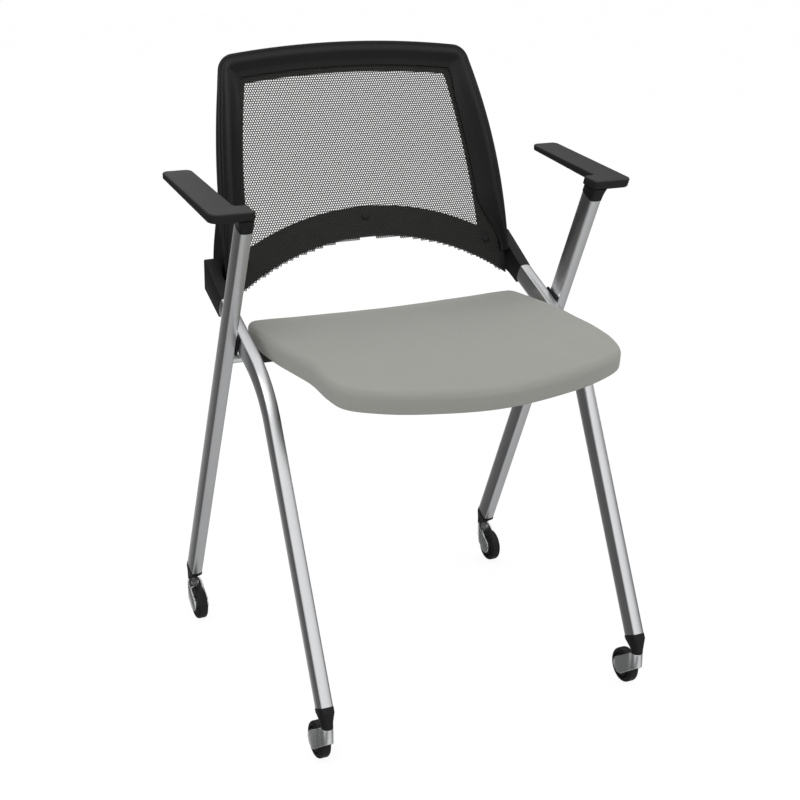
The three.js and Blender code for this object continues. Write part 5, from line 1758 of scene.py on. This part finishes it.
@dataclass
class Studio:
    """Floor, lamps, surroundings and the camera."""

    eye: tuple[float, float, float] = (-0.8226, -1.725532, 1.0239)
    right: tuple[float, float, float] = (0.90633, -0.42259, 0.0)
    up: tuple[float, float, float] = (0.13495, 0.28943, 0.94766)
    back: tuple[float, float, float] = (-0.40047, -0.85888, 0.31934)
    focal_pixels: float = 1467.12
    picture_pixels: float = 800.0
    sensor: float = 36.0
    surround: float = 0.34
    overhead: float = 0.50
    wall: float = 0.10
    floor_reach: float = 14.0
    floor_tone: tuple[float, float, float, float] = (0.82, 0.82, 0.82, 1.0)
    floor_glow: float = 1.06
    floor_glow_share: float = 0.87
    panels: tuple[tuple[float, tuple[float, float, float], float, float], ...] = (
        (0.90, (0.075, -0.86, 0.48), 0.60, 0.94),
        (0.90, (0.10, 0.10, 1.0), 0.50, 0.95),
        (0.36, (0.25, -0.25, -0.95), 0.40, 0.90),
        (0.55, (-0.90, -0.40, 0.15), 0.65, 0.95),
        (0.75, (0.20, 0.88, -0.42), 0.88, 0.97),
        (0.30, (0.30, -0.85, -0.45), 0.75, 0.95),
    )

    lamps: tuple[tuple, ...] = (
        ("key lamp", (-1.2, -1.3, 3.2), (0.0, 0.0, 0.45), (1.6, 1.6), 26.0),
        ("side lamp", (2.6, -0.4, 1.8), (0.0, 0.0, 0.45), (0.8, 2.2), 14.0),
        ("rear lamp", (0.4, 2.6, 2.4), (0.0, 0.0, 0.5), (2.4, 1.2), 14.0),
    )

    def camera(self) -> None:
        """Sets the camera where the photograph was taken."""
        data = bpy.data.cameras.new("camera")
        data.sensor_width = self.sensor
        data.lens = self.focal_pixels / self.picture_pixels * self.sensor
        data.clip_end = 100.0
        made = bpy.data.objects.new("camera", data)
        bpy.context.scene.collection.objects.link(made)
        turn = Matrix((self.right, self.up, self.back)).transposed().to_4x4()
        made.matrix_world = Matrix.Translation(self.eye) @ turn
        bpy.context.scene.camera = made

    def lamp(self, name: str, place: Sequence[float], aim: Sequence[float], size: tuple[float, float],
             power: float) -> None:
        """Adds one soft lamp.

        Args:
            name: Its name.
            place: Where it stands.
            aim: What it points at.
            size: Its width and height.
            power: Its power in watts.
        """
        data = bpy.data.lights.new(name, "AREA")
        data.shape = "RECTANGLE"
        data.size, data.size_y = size
        data.energy = power
        made = bpy.data.objects.new(name, data)
        bpy.context.scene.collection.objects.link(made)
        made.location = place
        made.rotation_euler = (Vector(aim) - Vector(place)).to_track_quat("-Z", "Y").to_euler()

    def floor(self) -> None:
        """A plain pale floor that keeps a soft shadow."""
        mesh = bpy.data.meshes.new("floor")
        far = self.floor_reach
        mesh.from_pydata([(-far, -far, 0.0), (far, -far, 0.0), (far, far, 0.0), (-far, far, 0.0)], [], [(0, 1, 2, 3)])
        made = bpy.data.objects.new("floor", mesh)
        bpy.context.scene.collection.objects.link(made)
        board = Board("floor")
        board.feed(board.shader, {"Base Color": self.floor_tone, "Roughness": 0.9, "Specular IOR Level": 0.0})
        glow = board.node("ShaderNodeEmission", None, {"Color": (1.0, 1.0, 1.0, 1.0), "Strength": self.floor_glow})
        seen = self.rays(board)
        mixed = board.node("ShaderNodeMixShader", None, {
            0: (seen["Camera"] + seen["Glossy"] + seen["Transmission"]) * self.floor_glow_share,
            1: board.shader.outputs[0], 2: glow.outputs[0]})
        board.feed(board.output, {"Surface": mixed.outputs[0]})
        mesh.materials.append(board.material)
        made.visible_glossy = False

    @staticmethod
    def rays(board: Board) -> dict[str, Signal]:
        """1 where a ray comes from the camera, a mirror or glass, and 0 elsewhere, by kind."""
        path = board.node("ShaderNodeLightPath")
        return {kind: Signal(board, path.outputs[f"Is {kind} Ray"]) for kind in ("Camera", "Glossy", "Transmission")}

    def world(self) -> None:
        """White surroundings at a plain level, in which metal sees lit panels and dimmer walls."""
        board = Surround("studio")
        seen = self.rays(board)
        mirrored = board.panel(*self.panels[0][1:]) * self.panels[0][0]
        for level, *panel in self.panels[1:]:
            mirrored = mirrored + board.panel(*panel) * level
        plain = 1.0 - (seen["Camera"] + seen["Glossy"] + seen["Transmission"])
        sky = board.panel((0.0, 0.0, 1.0), 0.0, 1.0) * self.overhead + self.surround
        board.feed(board.shader, {"Strength": seen["Camera"] + seen["Transmission"]
                                  + seen["Glossy"] * (mirrored + self.wall) + plain * sky})

    def build(self) -> None:
        """Builds the whole studio."""
        self.camera()
        self.floor()
        self.world()
        for lamp in self.lamps:
            self.lamp(*lamp)
        bpy.context.scene.view_settings.view_transform = "Standard"


def main() -> None:
    """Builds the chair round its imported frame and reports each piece."""
    logging.basicConfig(level=logging.INFO, format="%(message)s")
    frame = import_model()
    lines = Lines()
    low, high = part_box("seat_rod")
    shop = Workshop(lines, (low.y + high.y) / 2 - lines.rod_y)
    Studio().build()
    for part in (SideFrames, Seat, Backrest, Arms, Casters):
        part(shop).build()
    for node in frame["nodes"].values():
        if not node.hide_render:
            shop.dress(node, Finish.ZINC)
    bpy.context.view_layer.update()


if __name__ == "__main__":
    main()
